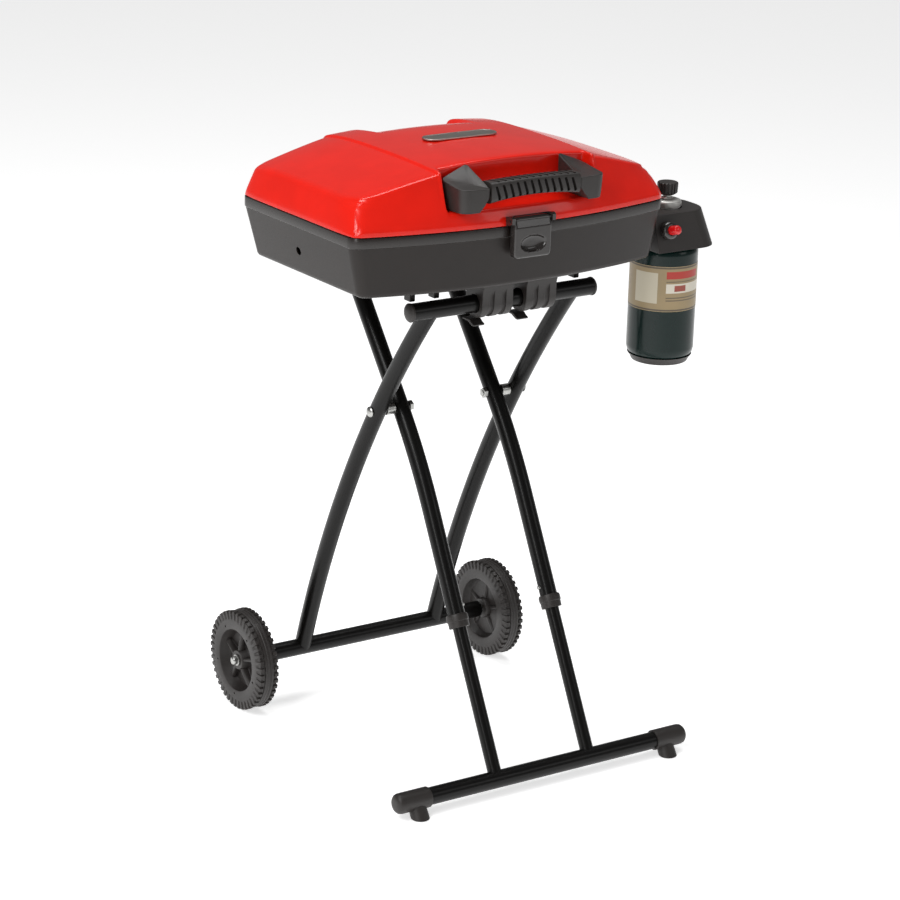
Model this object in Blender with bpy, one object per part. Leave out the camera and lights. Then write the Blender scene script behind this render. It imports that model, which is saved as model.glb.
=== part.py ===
"""Folding gas grill on a wheeled scissor stand, with a screw-on gas cylinder.

Metres, +Z up. The stand is symmetric about its own X = 0, its front faces -Y, and the
floor is Z = 0. Everything is placed in stand coordinates and parented to one empty,
which carries the stand so that the model's origin is under the middle of its outline.
"""

import math

import bmesh
import bpy
from mathutils import Matrix, Vector

# ---------------------------------------------------------------- driving dimensions
GAP = 0.0003                      # clearance between neighbouring pieces
TUBE_R = 0.0127                   # one-inch round tube
TUBE_WALL = 0.0012
SIDES = 16                        # facets round a tube

STAND_SHIFT = (-0.0602, 0.0117)   # stand centre to the middle of the whole outline

WHEEL_R = 0.0762                  # six-inch wheel
WHEEL_WIDTH = 0.0316
WHEEL_X = 0.2236                  # middle of the tread
AXLE = (0.1958, WHEEL_R)          # Y, Z of the wheel axis
AXLE_TUBE_HALF = 0.2045

FRONT_TUBE = (-0.1262, 0.6860)    # Y, Z of the front top cross tube
FRONT_TUBE_HALF = 0.1540
REAR_TUBE_HALF = 0.1050
CURVED_LEG_X = 0.1207             # wheel-side legs, outside
CURVED_LEG_SAG = 0.0330           # bow of the wheel-side legs over their chord
FOOT_LEG_X = 0.0815               # foot-side legs, inside
PIVOT_Z = 0.5050

FOOT_BAR = (-0.2690, 0.0235)      # Y, Z of the foot bar
FOOT_BAR_HALF = 0.2460
FOOT_CAP_X = (0.1990, 0.2540)
FOOT_PEG_X = 0.2190
LEG_SLOPE = math.radians(62.2)    # straight lower part of the foot-side legs
LEG_BEND = math.radians(10.4)     # how far the legs bend back above it
LEG_STRAIGHT = 0.3920
LEG_BEND_R = 0.9000
LOWER_LEG_R = 0.0100
LOWER_LEG_TOP = 0.2650            # along the leg from the foot bar
UPPER_LEG_END = 0.2265
SPRING_BUTTON_AT = 0.2540

# box: half width, front corner Y, back Y, bow of the front, corner radius
BOX_RIM = (0.2655, -0.1480, 0.1530, 0.0365, 0.0210)
BOX_BOTTOM = (0.2495, -0.1455, 0.1430, 0.0320, 0.0190)
BOX_FRONT = BOX_RIM[1] - BOX_RIM[3]
BOX_Z = 0.7200
RIM_Z = 0.8075
RIM_BAND = 0.0145
RIM_STEP = 0.0020
BOX_WALL = 0.0015

LID_Z = RIM_Z + 0.0010
LID_WALL = 0.0014
LID_FLANGE = 0.0080
BAND_HALF = 0.1310                # raised middle band of the lid
BAND_TOP = 0.0885                 # above the lid's lower edge
BAND_STEP = 0.0030
BAND_CROWN = 0.0060               # fall of the band from its middle to its edge
SHOULDER_HALF = 0.2520
SHOULDER_TOP = 0.0450
LID_PEAK_Y = -0.0150
LID_FRONT_FALL = 0.23             # fall of the top per metre squared, towards the front
LID_REAR_FALL = 14.0              # fall per metre to the fourth power, towards the rear
LID_REAR_EDGE = 0.0080            # how far the rear top edge is set in
LID_FRONT_EDGE = 0.0240
RECESS_HALF = 0.1270              # recess behind the handle
RECESS_Z = 0.0250
RECESS_BACK = -0.1340
DISH_HALF = 0.0800                # hollow in the rear of the band
DISH_START = 0.0780
DISH_SLOPE = 0.20

GAS_AXIS = (0.3235, -0.0800)
CYLINDER_R = 0.0500
CYLINDER_BASE = 0.5440
HOOD_Z = (0.7220, 0.7760)
HOOD_X = (0.2690, 0.3860)
HOOD_Y = (-0.1370, -0.0270)
HOOD_TILT = math.radians(15)
IGNITER_AT = (0.2880, 0.7530)     # X, Z on the slanted front panel

HINGE_X = 0.1500
HINGE_AXIS = (BOX_RIM[2] + 0.0068, RIM_Z + 0.0005)
LATCH_X = -0.0030
LATCH_AXIS = (BOX_FRONT - 0.0106, LID_Z + 0.0090)
LATCH_HALF = 0.0370

COLOURS = {
    "lid_enamel": ((0.80, 0.035, 0.022), 0.22, 0.0),
    "box_enamel": ((0.048, 0.042, 0.038), 0.45, 0.0),
    "tube_paint": ((0.012, 0.011, 0.011), 0.28, 0.0),
    "dark_plastic": ((0.042, 0.039, 0.038), 0.50, 0.0),
    "wheel_plastic": ((0.040, 0.036, 0.034), 0.62, 0.0),
    "zinc": ((0.55, 0.55, 0.54), 0.32, 1.0),
    "badge_metal": ((0.48, 0.46, 0.43), 0.35, 1.0),
    "burner_steel": ((0.42, 0.40, 0.38), 0.45, 1.0),
    "tray_aluminium": ((0.60, 0.60, 0.60), 0.38, 1.0),
    "cast_iron": ((0.020, 0.020, 0.020), 0.60, 0.0),
    "gas_green": ((0.012, 0.042, 0.038), 0.30, 0.0),
    "red_button": ((0.70, 0.02, 0.02), 0.30, 0.0),
}


# ---------------------------------------------------------------- scene and materials
def clear_scene():
    for obj in list(bpy.data.objects):
        bpy.data.objects.remove(obj, do_unlink=True)


def material(name):
    """The Principled BSDF of one finish."""
    found = bpy.data.materials.get(name)
    if found:
        return found
    colour, roughness, metallic = COLOURS[name]
    made = bpy.data.materials.new(name)
    made.use_nodes = True
    shader = made.node_tree.nodes["Principled BSDF"]
    shader.inputs["Base Color"].default_value = (*colour, 1.0)
    shader.inputs["Roughness"].default_value = roughness
    shader.inputs["Metallic"].default_value = metallic
    return made


def add_object(name, data, finish, origin=(0, 0, 0)):
    """Link data, given in stand coordinates, as an object whose origin is at origin."""
    data.transform(Matrix.Translation(-Vector(origin)))
    obj = bpy.data.objects.new(name, data)
    bpy.context.scene.collection.objects.link(obj)
    obj.parent = bpy.data.objects["stand"]
    obj.location = origin
    if finish:
        data.materials.append(material(finish))
    return obj


def add_mesh(name, bm, finish, origin=(0, 0, 0)):
    """Turn a closed bmesh into a smooth-shaded object with sharp edges kept."""
    bmesh.ops.recalc_face_normals(bm, faces=bm.faces)
    mesh = bpy.data.meshes.new(name)
    bm.to_mesh(mesh)
    bm.free()
    mesh.shade_smooth()
    mesh.set_sharp_from_angle(angle=math.radians(35))
    return add_object(name, mesh, finish, origin)


def boolean(obj, operand, operation="DIFFERENCE"):
    """Cut or join with a hidden operand object."""
    operand.hide_render = True
    operand.display_type = "WIRE"
    modifier = obj.modifiers.new(operation.title(), "BOOLEAN")
    modifier.operation = operation
    modifier.solver = "EXACT"
    modifier.object = operand


# ---------------------------------------------------------------- shapes
def ring_loft(rings, closed=False):
    """A bmesh through rings of equal length; capped at both ends unless closed."""
    bm = bmesh.new()
    loops = [[bm.verts.new(point) for point in ring] for ring in rings]
    pairs = list(zip(loops, loops[1:]))
    if closed:
        pairs.append((loops[-1], loops[0]))
    count = len(rings[0])
    for lower, upper in pairs:
        for i in range(count):
            j = (i + 1) % count
            bm.faces.new((lower[i], lower[j], upper[j], upper[i]))
    if not closed:
        bm.faces.new(loops[0])
        bm.faces.new(loops[-1])
    return bm


def frame_of(axis):
    """Two unit vectors square to axis."""
    axis = Vector(axis).normalized()
    helper = Vector((1, 0, 0)) if abs(axis.x) < 0.9 else Vector((0, 1, 0))
    side = axis.cross(helper).normalized()
    return axis, side, axis.cross(side)


def circle(centre, axis, radius, sides=SIDES):
    _, side, up = frame_of(axis)
    centre = Vector(centre)
    step = math.tau / sides
    return [centre + radius * (math.cos(i * step) * side + math.sin(i * step) * up)
            for i in range(sides)]


def turned(profile, base, axis, sides=12, closed=False):
    """Revolve (distance, radius) pairs about the axis through base."""
    direction = Vector(axis).normalized()
    rings = [circle(Vector(base) + along * direction, direction, radius, sides)
             for along, radius in profile]
    return ring_loft(rings, closed)


def bored(profile, base, axis, sides=16):
    """A round cutter whose flats, not its corners, lie at the stated radii."""
    widen = 1 / math.cos(math.pi / sides)
    return turned([(along, radius * widen) for along, radius in profile], base, axis, sides)


def prism(outline, axis, low, high):
    """Extrude an outline, given in the two other axes in cyclic order, along axis."""
    place = {
        "X": lambda u, v, w: (w, u, v),
        "Y": lambda u, v, w: (u, w, v),
        "Z": lambda u, v, w: (u, v, w),
    }[axis]
    return ring_loft([[place(u, v, w) for u, v in outline] for w in (low, high)])


def block(low, high):
    """A plain box between two corners, used for cutters and small plates."""
    outline = [(low[0], low[1]), (high[0], low[1]), (high[0], high[1]), (low[0], high[1])]
    return prism(outline, "Z", low[2], high[2])


def hull(points):
    bm = bmesh.new()
    for point in points:
        bm.verts.new(point)
    result = bmesh.ops.convex_hull(bm, input=bm.verts)
    unused = [item for item in result["geom_interior"] if isinstance(item, bmesh.types.BMVert)]
    bmesh.ops.delete(bm, geom=unused, context="VERTS")
    return bm


def arc(centre, radius, start, end, count):
    """Points on an arc, in degrees, both ends included."""
    return [(centre[0] + radius * math.cos(math.radians(start + (end - start) * i / count)),
             centre[1] + radius * math.sin(math.radians(start + (end - start) * i / count)))
            for i in range(count + 1)]


def add_tube(name, path, radius, finish, wall=TUBE_WALL, origin=(0, 0, 0), sides=SIDES):
    """A hollow round tube with open ends, swept along a path."""
    points = [Vector(point) for point in path]
    ways = [(following - point).normalized() for point, following in zip(points, points[1:])]
    tangents = [ways[0]] + [(a + b).normalized() for a, b in zip(ways, ways[1:])] + [ways[-1]]
    outer = [circle(point, way, radius, sides) for point, way in zip(points, tangents)]
    inner = [circle(point, way, radius - wall, sides) for point, way in zip(points, tangents)]
    return add_mesh(name, ring_loft(outer + inner[::-1], closed=True), finish, origin)


def saddle_cut(obj, centre, half_length=0.2):
    """Cut the end of a tube to sit on a cross tube that runs along X."""
    start = (-half_length, centre[0], centre[1])
    reach = TUBE_R + GAP
    cutter = bored([(0, reach), (2 * half_length, reach)], start, (1, 0, 0), 24)
    boolean(obj, add_mesh(obj.name + "_saddle", cutter, None))


# ---------------------------------------------------------------- leg lines
def curved_leg_line(count=8):
    """Y, Z points on the bow of a wheel-side leg, from the front tube to the axle."""
    top, foot = Vector(FRONT_TUBE), Vector(AXLE)
    chord = foot - top
    half = chord.length / 2
    radius = (half * half + CURVED_LEG_SAG ** 2) / (2 * CURVED_LEG_SAG)
    along = chord.normalized()
    outward = Vector((-along.y, along.x))
    centre = top + chord / 2 - outward * (radius - CURVED_LEG_SAG)
    spread = math.asin(half / radius)
    points = []
    for i in range(count + 1):
        angle = -spread + 2 * spread * i / count
        points.append(centre + radius * (math.sin(angle) * along + math.cos(angle) * outward))
    return points


def curved_leg_y(height):
    """Y of a wheel-side leg's centre line at a height."""
    line = curved_leg_line(200)
    for upper, lower in zip(line, line[1:]):
        if upper.y >= height >= lower.y:
            share = (upper.y - height) / (upper.y - lower.y)
            return upper.x + share * (lower.x - upper.x)
    raise ValueError("height is off the leg")


def foot_leg_point(distance):
    """Y, Z on a foot-side leg at a distance from the foot bar, and its direction there."""
    start = Vector(FOOT_BAR)
    if distance <= LEG_STRAIGHT:
        angle = LEG_SLOPE
        return start + distance * Vector((math.cos(angle), math.sin(angle))), angle
    knee = start + LEG_STRAIGHT * Vector((math.cos(LEG_SLOPE), math.sin(LEG_SLOPE)))
    turn = min((distance - LEG_STRAIGHT) / LEG_BEND_R, LEG_BEND)
    angle = LEG_SLOPE - turn
    offset = Vector((math.sin(LEG_SLOPE) - math.sin(angle), math.cos(angle) - math.cos(LEG_SLOPE)))
    point = knee + LEG_BEND_R * offset
    rest = distance - LEG_STRAIGHT - turn * LEG_BEND_R
    return point + rest * Vector((math.cos(angle), math.sin(angle))), angle


def distance_at_height(height):
    """Distance along a foot-side leg at which its centre line reaches a height."""
    low, high = 0.0, 1.0
    for _ in range(40):
        middle = (low + high) / 2
        if foot_leg_point(middle)[0].y < height:
            low = middle
        else:
            high = middle
    return low


PIVOT = (curved_leg_y(PIVOT_Z), PIVOT_Z)
LEG_SHIFT = PIVOT[0] - foot_leg_point(distance_at_height(PIVOT_Z))[0].x
LEG_LENGTH = distance_at_height(FRONT_TUBE[1])
REAR_TUBE = (foot_leg_point(LEG_LENGTH)[0].x + LEG_SHIFT, FRONT_TUBE[1])


def on_leg(x, distance):
    point, _ = foot_leg_point(distance)
    return Vector((x, point.x + LEG_SHIFT, point.y))


LEG_AXIS = Vector((0, math.cos(LEG_SLOPE), math.sin(LEG_SLOPE)))
FOOT_BAR_Y = FOOT_BAR[0] + LEG_SHIFT


# ---------------------------------------------------------------- stand
def drill_for_pivot(obj, sign):
    cutter = turned([(0, 0.0043), (0.09, 0.0043)], (sign * 0.06, *PIVOT), (sign, 0, 0), 12)
    boolean(obj, add_mesh(obj.name + "_bore", cutter, None))


def make_wheel_frame():
    """Front cross tube, its end plugs, the bowed legs and the axle tube."""
    y, z = FRONT_TUBE
    ends = [(-FRONT_TUBE_HALF, y, z), (FRONT_TUBE_HALF, y, z)]
    add_tube("front_cross_tube", ends, TUBE_R, "tube_paint")
    ends = [(-AXLE_TUBE_HALF, *AXLE), (AXLE_TUBE_HALF, *AXLE)]
    add_tube("axle_tube", ends, TUBE_R, "tube_paint")
    plug = [(-0.010, 0.0106), (-0.0006, 0.0112), (GAP, 0.0112), (GAP, 0.0134),
            (0.0026, 0.0134), (0.0032, 0.0120), (0.0056, 0.0090), (0.0068, 0.0040)]
    for side, sign in (("left", -1), ("right", 1)):
        bm = turned(plug, (sign * FRONT_TUBE_HALF, y, z), (sign, 0, 0))
        add_mesh("tube_plug_" + side, bm, "dark_plastic")
        path = [(sign * CURVED_LEG_X, point.x, point.y) for point in curved_leg_line()]
        leg = add_tube("curved_leg_" + side, path, TUBE_R, "tube_paint")
        saddle_cut(leg, FRONT_TUBE)
        saddle_cut(leg, AXLE)
        drill_for_pivot(leg, sign)


def make_pivots():
    """Shouldered pivot bolts with a dome head outside and a nut inside."""
    outer, inner = CURVED_LEG_X + TUBE_R, FOOT_LEG_X - TUBE_R
    between = (CURVED_LEG_X - TUBE_R, FOOT_LEG_X + TUBE_R)
    shaft, shoulder = 0.0040, 0.0085
    for side, sign in (("left", -1), ("right", 1)):
        profile = [(inner - 0.0080, shaft), (between[1] + GAP, shaft), (between[1] + GAP, shoulder),
                   (between[0] - GAP, shoulder), (between[0] - GAP, shaft), (outer + GAP, shaft),
                   (outer + GAP, 0.0075), (outer + 0.0018, 0.0075), (outer + 0.0040, 0.0045)]
        bm = turned([(abs(x), r) for x, r in profile], (0, *PIVOT), (sign, 0, 0))
        add_mesh("pivot_bolt_" + side, bm, "zinc", (0, *PIVOT))
        nut = [(inner - 0.0068, 0.0070), (inner - GAP, 0.0070),
               (inner - GAP, shaft + GAP), (inner - 0.0068, shaft + GAP)]
        bm = turned(nut, (0, *PIVOT), (sign, 0, 0), closed=True)
        add_mesh("pivot_nut_" + side, bm, "zinc", (0, *PIVOT))


def make_wheel(side, sign):
    """A moulded wheel: two rows of tread lugs, a dished face, five pockets and a hub."""
    lugs = 18
    half = WHEEL_WIDTH / 2
    root = 0.0725
    centre = Vector((sign * WHEEL_X, *AXLE))

    def ring(along, radius, lugged=False):
        points = []
        for i in range(2 * lugs):
            reach = min(radius, root) if lugged and i % 2 else radius
            angle = math.tau * i / (2 * lugs) - math.pi / 2
            offset = (sign * along, reach * math.cos(angle), reach * math.sin(angle))
            points.append(centre + Vector(offset))
        return points

    hub_bore, hub, face = 0.0056, 0.0150, 0.0090
    rings = [
        ring(-half, hub_bore), ring(-half, hub), ring(-half + 0.006, hub + 0.002),
        ring(-half + 0.006, 0.0600), ring(-half, 0.0630),
        ring(-half + 0.0015, WHEEL_R, True), ring(-0.0025, WHEEL_R, True), ring(-0.0020, root),
        ring(0.0020, root), ring(0.0025, WHEEL_R, True), ring(half - 0.0015, WHEEL_R, True),
        ring(half, 0.0460), ring(half - face, 0.0420),
        ring(half - face, hub + 0.002), ring(half - 0.002, hub), ring(half - 0.002, hub_bore),
    ]
    wheel = add_mesh("wheel_" + side, ring_loft(rings, closed=True), "wheel_plastic", centre)
    spokes = 5
    for i in range(spokes):
        low, high = (i + 0.16) * 360 / spokes, (i + 0.84) * 360 / spokes
        outline = arc((centre.y, centre.z), 0.0385, low, high, 5)
        outline += arc((centre.y, centre.z), 0.0200, high - 4, low + 4, 2)
        faces = sorted((centre.x - sign * 0.004, centre.x + sign * half))
        cutter = prism(outline, "X", *faces)
        boolean(wheel, add_mesh("wheel_%s_pocket_%d" % (side, i), cutter, None))


def make_wheels():
    """Wheels and the stub bolts that they turn on."""
    half = WHEEL_WIDTH / 2
    plug, shaft, outer = TUBE_R - TUBE_WALL - GAP, 0.0050, WHEEL_X + half
    stub = [(AXLE_TUBE_HALF - 0.022, plug), (AXLE_TUBE_HALF - GAP, plug), (AXLE_TUBE_HALF - GAP, shaft),
            (outer, shaft), (outer, 0.0085), (outer + 0.004, 0.0085), (outer + 0.006, 0.0055)]
    for side, sign in (("left", -1), ("right", 1)):
        make_wheel(side, sign)
        bm = turned(stub, (0, *AXLE), (sign, 0, 0))
        add_mesh("wheel_bolt_" + side, bm, "zinc", (sign * WHEEL_X, *AXLE))


def make_foot_frame():
    """Bent upper legs, rear cross tube, collars and the spring buttons above them."""
    y, z = REAR_TUBE
    ends = [(-REAR_TUBE_HALF, y, z), (REAR_TUBE_HALF, y, z)]
    add_tube("rear_cross_tube", ends, TUBE_R, "tube_paint", origin=(0, *PIVOT))
    bend_end = LEG_STRAIGHT + LEG_BEND * LEG_BEND_R
    stops = [UPPER_LEG_END, LEG_STRAIGHT]
    stops += [LEG_STRAIGHT + (bend_end - LEG_STRAIGHT) * i / 4 for i in range(1, 5)] + [LEG_LENGTH]
    collar = [(UPPER_LEG_END - 0.0045, 0.0150), (UPPER_LEG_END + 0.0050, 0.0150),
              (UPPER_LEG_END + 0.0056, 0.0160), (UPPER_LEG_END + 0.0120, 0.0160),
              (UPPER_LEG_END + 0.0155, 0.0142), (UPPER_LEG_END + 0.0155, TUBE_R + GAP),
              (UPPER_LEG_END - GAP, TUBE_R + GAP), (UPPER_LEG_END - GAP, LOWER_LEG_R + GAP),
              (UPPER_LEG_END - 0.0045, LOWER_LEG_R + GAP)]
    for side, sign in (("left", -1), ("right", 1)):
        x = sign * FOOT_LEG_X
        leg = add_tube("upper_leg_" + side, [on_leg(x, stop) for stop in stops], TUBE_R,
                       "tube_paint", origin=(0, *PIVOT))
        saddle_cut(leg, REAR_TUBE)
        drill_for_pivot(leg, sign)
        button_at = on_leg(x, SPRING_BUTTON_AT)
        hole = turned([(0, 0.0034), (0.018, 0.0034)], button_at, (-sign, 0, 0), 12)
        boolean(leg, add_mesh("upper_leg_%s_button_hole" % side, hole, None))
        bm = turned(collar, on_leg(x, 0), LEG_AXIS, SIDES, closed=True)
        add_mesh("leg_collar_" + side, bm, "dark_plastic")
        pin = [(0.0124, 0.0030), (0.0150, 0.0030), (0.0164, 0.0021), (0.0170, 0.0008)]
        bm = turned(pin, button_at, (-sign, 0, 0), 12)
        add_mesh("spring_button_" + side, bm, "zinc", button_at)


def make_foot_extension():
    """Sliding lower legs, foot bar and the end caps with their foot pegs."""
    ends = [(-FOOT_BAR_HALF, FOOT_BAR_Y, FOOT_BAR[1]), (FOOT_BAR_HALF, FOOT_BAR_Y, FOOT_BAR[1])]
    add_tube("foot_bar", ends, TUBE_R, "tube_paint")
    for side, sign in (("left", -1), ("right", 1)):
        x = sign * FOOT_LEG_X
        leg = add_tube("lower_leg_" + side, [on_leg(x, 0), on_leg(x, LOWER_LEG_TOP)],
                       LOWER_LEG_R, "tube_paint")
        saddle_cut(leg, (FOOT_BAR_Y, FOOT_BAR[1]))
        make_foot_cap(side, sign)


def make_foot_cap(side, sign):
    """A sleeve with a domed end over the foot bar, and a slanted peg down to the floor."""
    near, far = FOOT_CAP_X
    centre = Vector((0, FOOT_BAR_Y, FOOT_BAR[1]))
    sleeve = [(near, 0.0150), (far - 0.006, 0.0150), (far - 0.0018, 0.0128), (far, 0.0080)]
    cap = add_mesh("foot_cap_" + side, turned(sleeve, centre, (sign, 0, 0), SIDES), "dark_plastic")
    x = sign * FOOT_PEG_X
    slant = 0.0125
    top = circle((x, FOOT_BAR_Y, FOOT_BAR[1]), (0, 0, 1), 0.0125)
    rings = [circle((x, FOOT_BAR_Y - slant, 0), (0, 0, 1), 0.0135),
             circle((x, FOOT_BAR_Y - slant * 0.8, 0.005), (0, 0, 1), 0.0135), top]
    boolean(cap, add_mesh("foot_cap_%s_peg" % side, ring_loft(rings), None), "UNION")
    bore = [(near - 0.01, TUBE_R + GAP), (FOOT_BAR_HALF + GAP, TUBE_R + GAP)]
    cutter = turned(bore, centre, (sign, 0, 0), SIDES)
    boolean(cap, add_mesh("foot_cap_%s_bore" % side, cutter, None))


# ---------------------------------------------------------------- box
def box_outline(size, inset=0.0, corner=4, front=10):
    """X, Y points round the box: bowed front, straight back and round corners."""
    half, front_y, back_y, bow, radius = size
    half, front_y, back_y = half - inset, front_y + inset, back_y - inset
    radius = max(radius - inset, 0.004)

    def front_at(x):
        return front_y - bow * (1 - (x / half) ** 2)

    middle = half - radius
    lean = math.degrees(math.atan(2 * bow * middle / half ** 2))
    touch_x = middle + radius * math.sin(math.radians(lean))
    low_y = front_at(touch_x) + radius * math.cos(math.radians(lean))
    right = arc((middle, low_y), radius, lean - 90, 0, corner)
    right += arc((middle, back_y - radius), radius, 0, 90, corner)
    left = [(-x, y) for x, y in reversed(right)]
    edge = [-touch_x + 2 * touch_x * i / front for i in range(1, front)]
    return right + left + [(x, front_at(x)) for x in edge]


def level(size, z, inset=0.0):
    return [(x, y, z) for x, y in box_outline(size, inset)]


def make_firebox():
    """Pressed tub with a stepped rim band, an air hole and a hole for the gas pipe."""
    under_rim = RIM_Z - RIM_BAND
    wall = BOX_WALL
    rings = [
        level(BOX_BOTTOM, BOX_Z, 0.0080), level(BOX_BOTTOM, BOX_Z + 0.0022, 0.0023),
        level(BOX_BOTTOM, BOX_Z + 0.0080), level(BOX_RIM, under_rim - 0.0020, RIM_STEP),
        level(BOX_RIM, under_rim), level(BOX_RIM, RIM_Z),
        level(BOX_RIM, RIM_Z, wall), level(BOX_RIM, under_rim + 0.0010, wall),
        level(BOX_RIM, under_rim - 0.0005, wall + RIM_STEP),
        level(BOX_BOTTOM, BOX_Z + 0.0088, wall), level(BOX_BOTTOM, BOX_Z + 0.0036, wall + 0.0025),
        level(BOX_BOTTOM, BOX_Z + wall, wall + 0.0075),
    ]
    tub = add_mesh("firebox", ring_loft(rings), "box_enamel")
    air = turned([(0, 0.0060), (0.03, 0.0060)], (-0.27, 0.006, 0.7560), (1, 0, 0), 16)
    boolean(tub, add_mesh("firebox_air_hole", air, None))
    pipe = turned([(0, 0.0100), (0.03, 0.0100)], (0.24, GAS_AXIS[1], 0.7560), (1, 0, 0), 16)
    boolean(tub, add_mesh("firebox_pipe_hole", pipe, None))


def make_burner():
    """Oval burner tube, the pipe that feeds it, and the tray under it."""
    half_x, half_y, z = 0.150, 0.075, 0.7560
    path = [Vector((half_x * math.cos(math.tau * i / 32), half_y * math.sin(math.tau * i / 32), z))
            for i in range(32)]
    rings = []
    for i, point in enumerate(path):
        rings.append(circle(point, path[(i + 1) % 32] - path[i - 1], 0.0080, 10))
    for ring_now in rings:
        ring_now.sort(key=lambda p: math.atan2(p.z - z, math.hypot(p.x / half_x, p.y / half_y) - 1))
    add_mesh("burner", ring_loft(rings, closed=True), "burner_steel")
    run_in = half_x + 0.0085
    elbow = [(0.3085, GAS_AXIS[1], z), (0.222, GAS_AXIS[1], z), (0.206, -0.072, z),
             (0.200, -0.054, z), (0.196, -0.018, z), (0.188, -0.003, z), (0.178, 0, z), (run_in, 0, z)]
    add_tube("gas_pipe", elbow, 0.0070, "burner_steel", 0.0010, sides=10)
    tray = (0.185, -0.100, 0.100, 0.0, 0.020)
    base = BOX_Z + BOX_WALL + GAP
    rings = [level(tray, base, 0.004), level(tray, base + 0.012), level(tray, base + 0.012, 0.0012),
             level(tray, base + 0.0012, 0.005)]
    add_mesh("grease_tray", ring_loft(rings), "tray_aluminium")


def make_cooktops():
    """Two cast grates side by side, resting on the step inside the rim."""
    low, high = RIM_Z - RIM_BAND + 0.0013, RIM_Z - 0.0060
    ledge = box_outline(BOX_RIM, 0.0025)
    pitch, bar = 0.0200, 0.0080
    for side, sign in (("left", -1), ("right", 1)):
        half = [(x, y) for x, y in ledge if sign * x > 0.002]
        split = sign * 0.0008
        ends = (min(y for _, y in half), max(y for _, y in half))
        half += [(split, ends[0]), (split, ends[1])]
        half = sorted(half, key=lambda p: math.atan2(p[1], p[0] - sign * 0.12))
        grate = add_mesh("cooktop_" + side, prism(half, "Z", low, high), "cast_iron")
        cutters = bmesh.new()
        for i in range(12):
            middle = sign * (0.0185 + pitch * i)
            reach = 0.5 * (pitch - bar)
            shape = bmesh.ops.create_cube(cutters, size=1)["verts"]
            size = (2 * reach, 0.270 if i < 11 else 0.230, 0.03)
            bmesh.ops.scale(cutters, vec=size, verts=shape)
            bmesh.ops.translate(cutters, vec=(middle, -0.006, low), verts=shape)
        boolean(grate, add_mesh("cooktop_%s_slots" % side, cutters, None))


# ---------------------------------------------------------------- lid
def lid_top(x, y):
    """Height of the lid's top over its lower edge, before the edges are turned down."""
    run = y - LID_PEAK_Y
    fall = LID_REAR_FALL * run ** 4 if run > 0 else LID_FRONT_FALL * run * run
    if abs(x) <= BAND_HALF:
        dish = DISH_SLOPE * max(y - DISH_START, 0.0) if abs(x) < DISH_HALF else 0.0
        return BAND_TOP - BAND_CROWN * (x / BAND_HALF) ** 2 - fall - dish
    share = min((abs(x) - BAND_HALF) / (SHOULDER_HALF - BAND_HALF), 1.0)
    edge = BAND_TOP - BAND_CROWN - BAND_STEP
    return edge - (edge - SHOULDER_TOP) * share ** 1.12 - fall * (1 - 0.35 * share)


def lid_section(x, height_share, outset):
    """Y, Z points over the lid at one X, front flange to rear flange."""
    half, front_y, back_y, bow, radius = BOX_RIM
    half, front_y, back_y = half + outset, front_y - outset, back_y + outset
    over = max(abs(x) - (half - radius), 0.0)
    pull = radius - math.sqrt(max(radius * radius - over * over, 0.0))
    front = front_y - bow * (1 - (x / half) ** 2) + pull
    back = back_y - pull
    recessed = abs(x) < RECESS_HALF
    rim_in = front + LID_FRONT_EDGE + 0.2 * pull
    front_in = RECESS_BACK - outset if recessed else rim_in
    back_in = back - LID_REAR_EDGE
    edge = 0.006
    z_front = lid_top(x, front_in) + outset
    z_back = lid_top(x, back_in) + outset
    step = RECESS_Z + outset
    lean = (rim_in - front) / (z_front - edge - LID_FLANGE)
    points = [(front, 0.0), (front, LID_FLANGE),
              (front + lean * (step - 0.003 - LID_FLANGE), step - 0.003)]
    if recessed:
        points += [(points[-1][0] + 0.004, step), (front_in - 0.006, step + 0.001)]
    else:
        points += [(front + lean * (z - LID_FLANGE), z) for z in (step, step + 0.006)]
    points += [(front_in - 0.001, z_front - edge), (front_in + 0.0015, z_front - 0.0018),
               (front_in + edge, lid_top(x, front_in + edge) + outset)]
    inner_front, inner_back = front_in + edge, back_in - 2 * edge
    for i in range(1, 6):
        y = inner_front + (inner_back - inner_front) * i / 5
        points.append((y, lid_top(x, y) + outset))
    points += [(back_in - 0.002, z_back - 0.0010), (back_in + 0.002, z_back - 0.006),
               (back - 0.002, LID_FLANGE + 0.012), (back, LID_FLANGE), (back, 0.0)]
    return [(x, y, LID_Z + z * height_share) for y, z in points]


def lid_stations(outset):
    """(X, share of the full height) from the left side to the right side."""
    half = BOX_RIM[0] + outset
    turned_down = [(half, 0.0), (half - 0.0010, 0.18), (half - 0.0115, 0.86), (half - 0.0135, 0.950),
                   (half - 0.0170, 0.985)]
    full = [0.2430, 0.2200, 0.1900, 0.1600, BAND_HALF + 0.0025, BAND_HALF - 0.0002, RECESS_HALF + 0.0005,
            RECESS_HALF - 0.0030, 0.1050, DISH_HALF + 0.0030, DISH_HALF - 0.0030, 0.0400]
    right = turned_down + [(x, 1.0) for x in full]
    return [(-x, share) for x, share in right] + [(0.0, 1.0)] + list(reversed(right))


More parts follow.
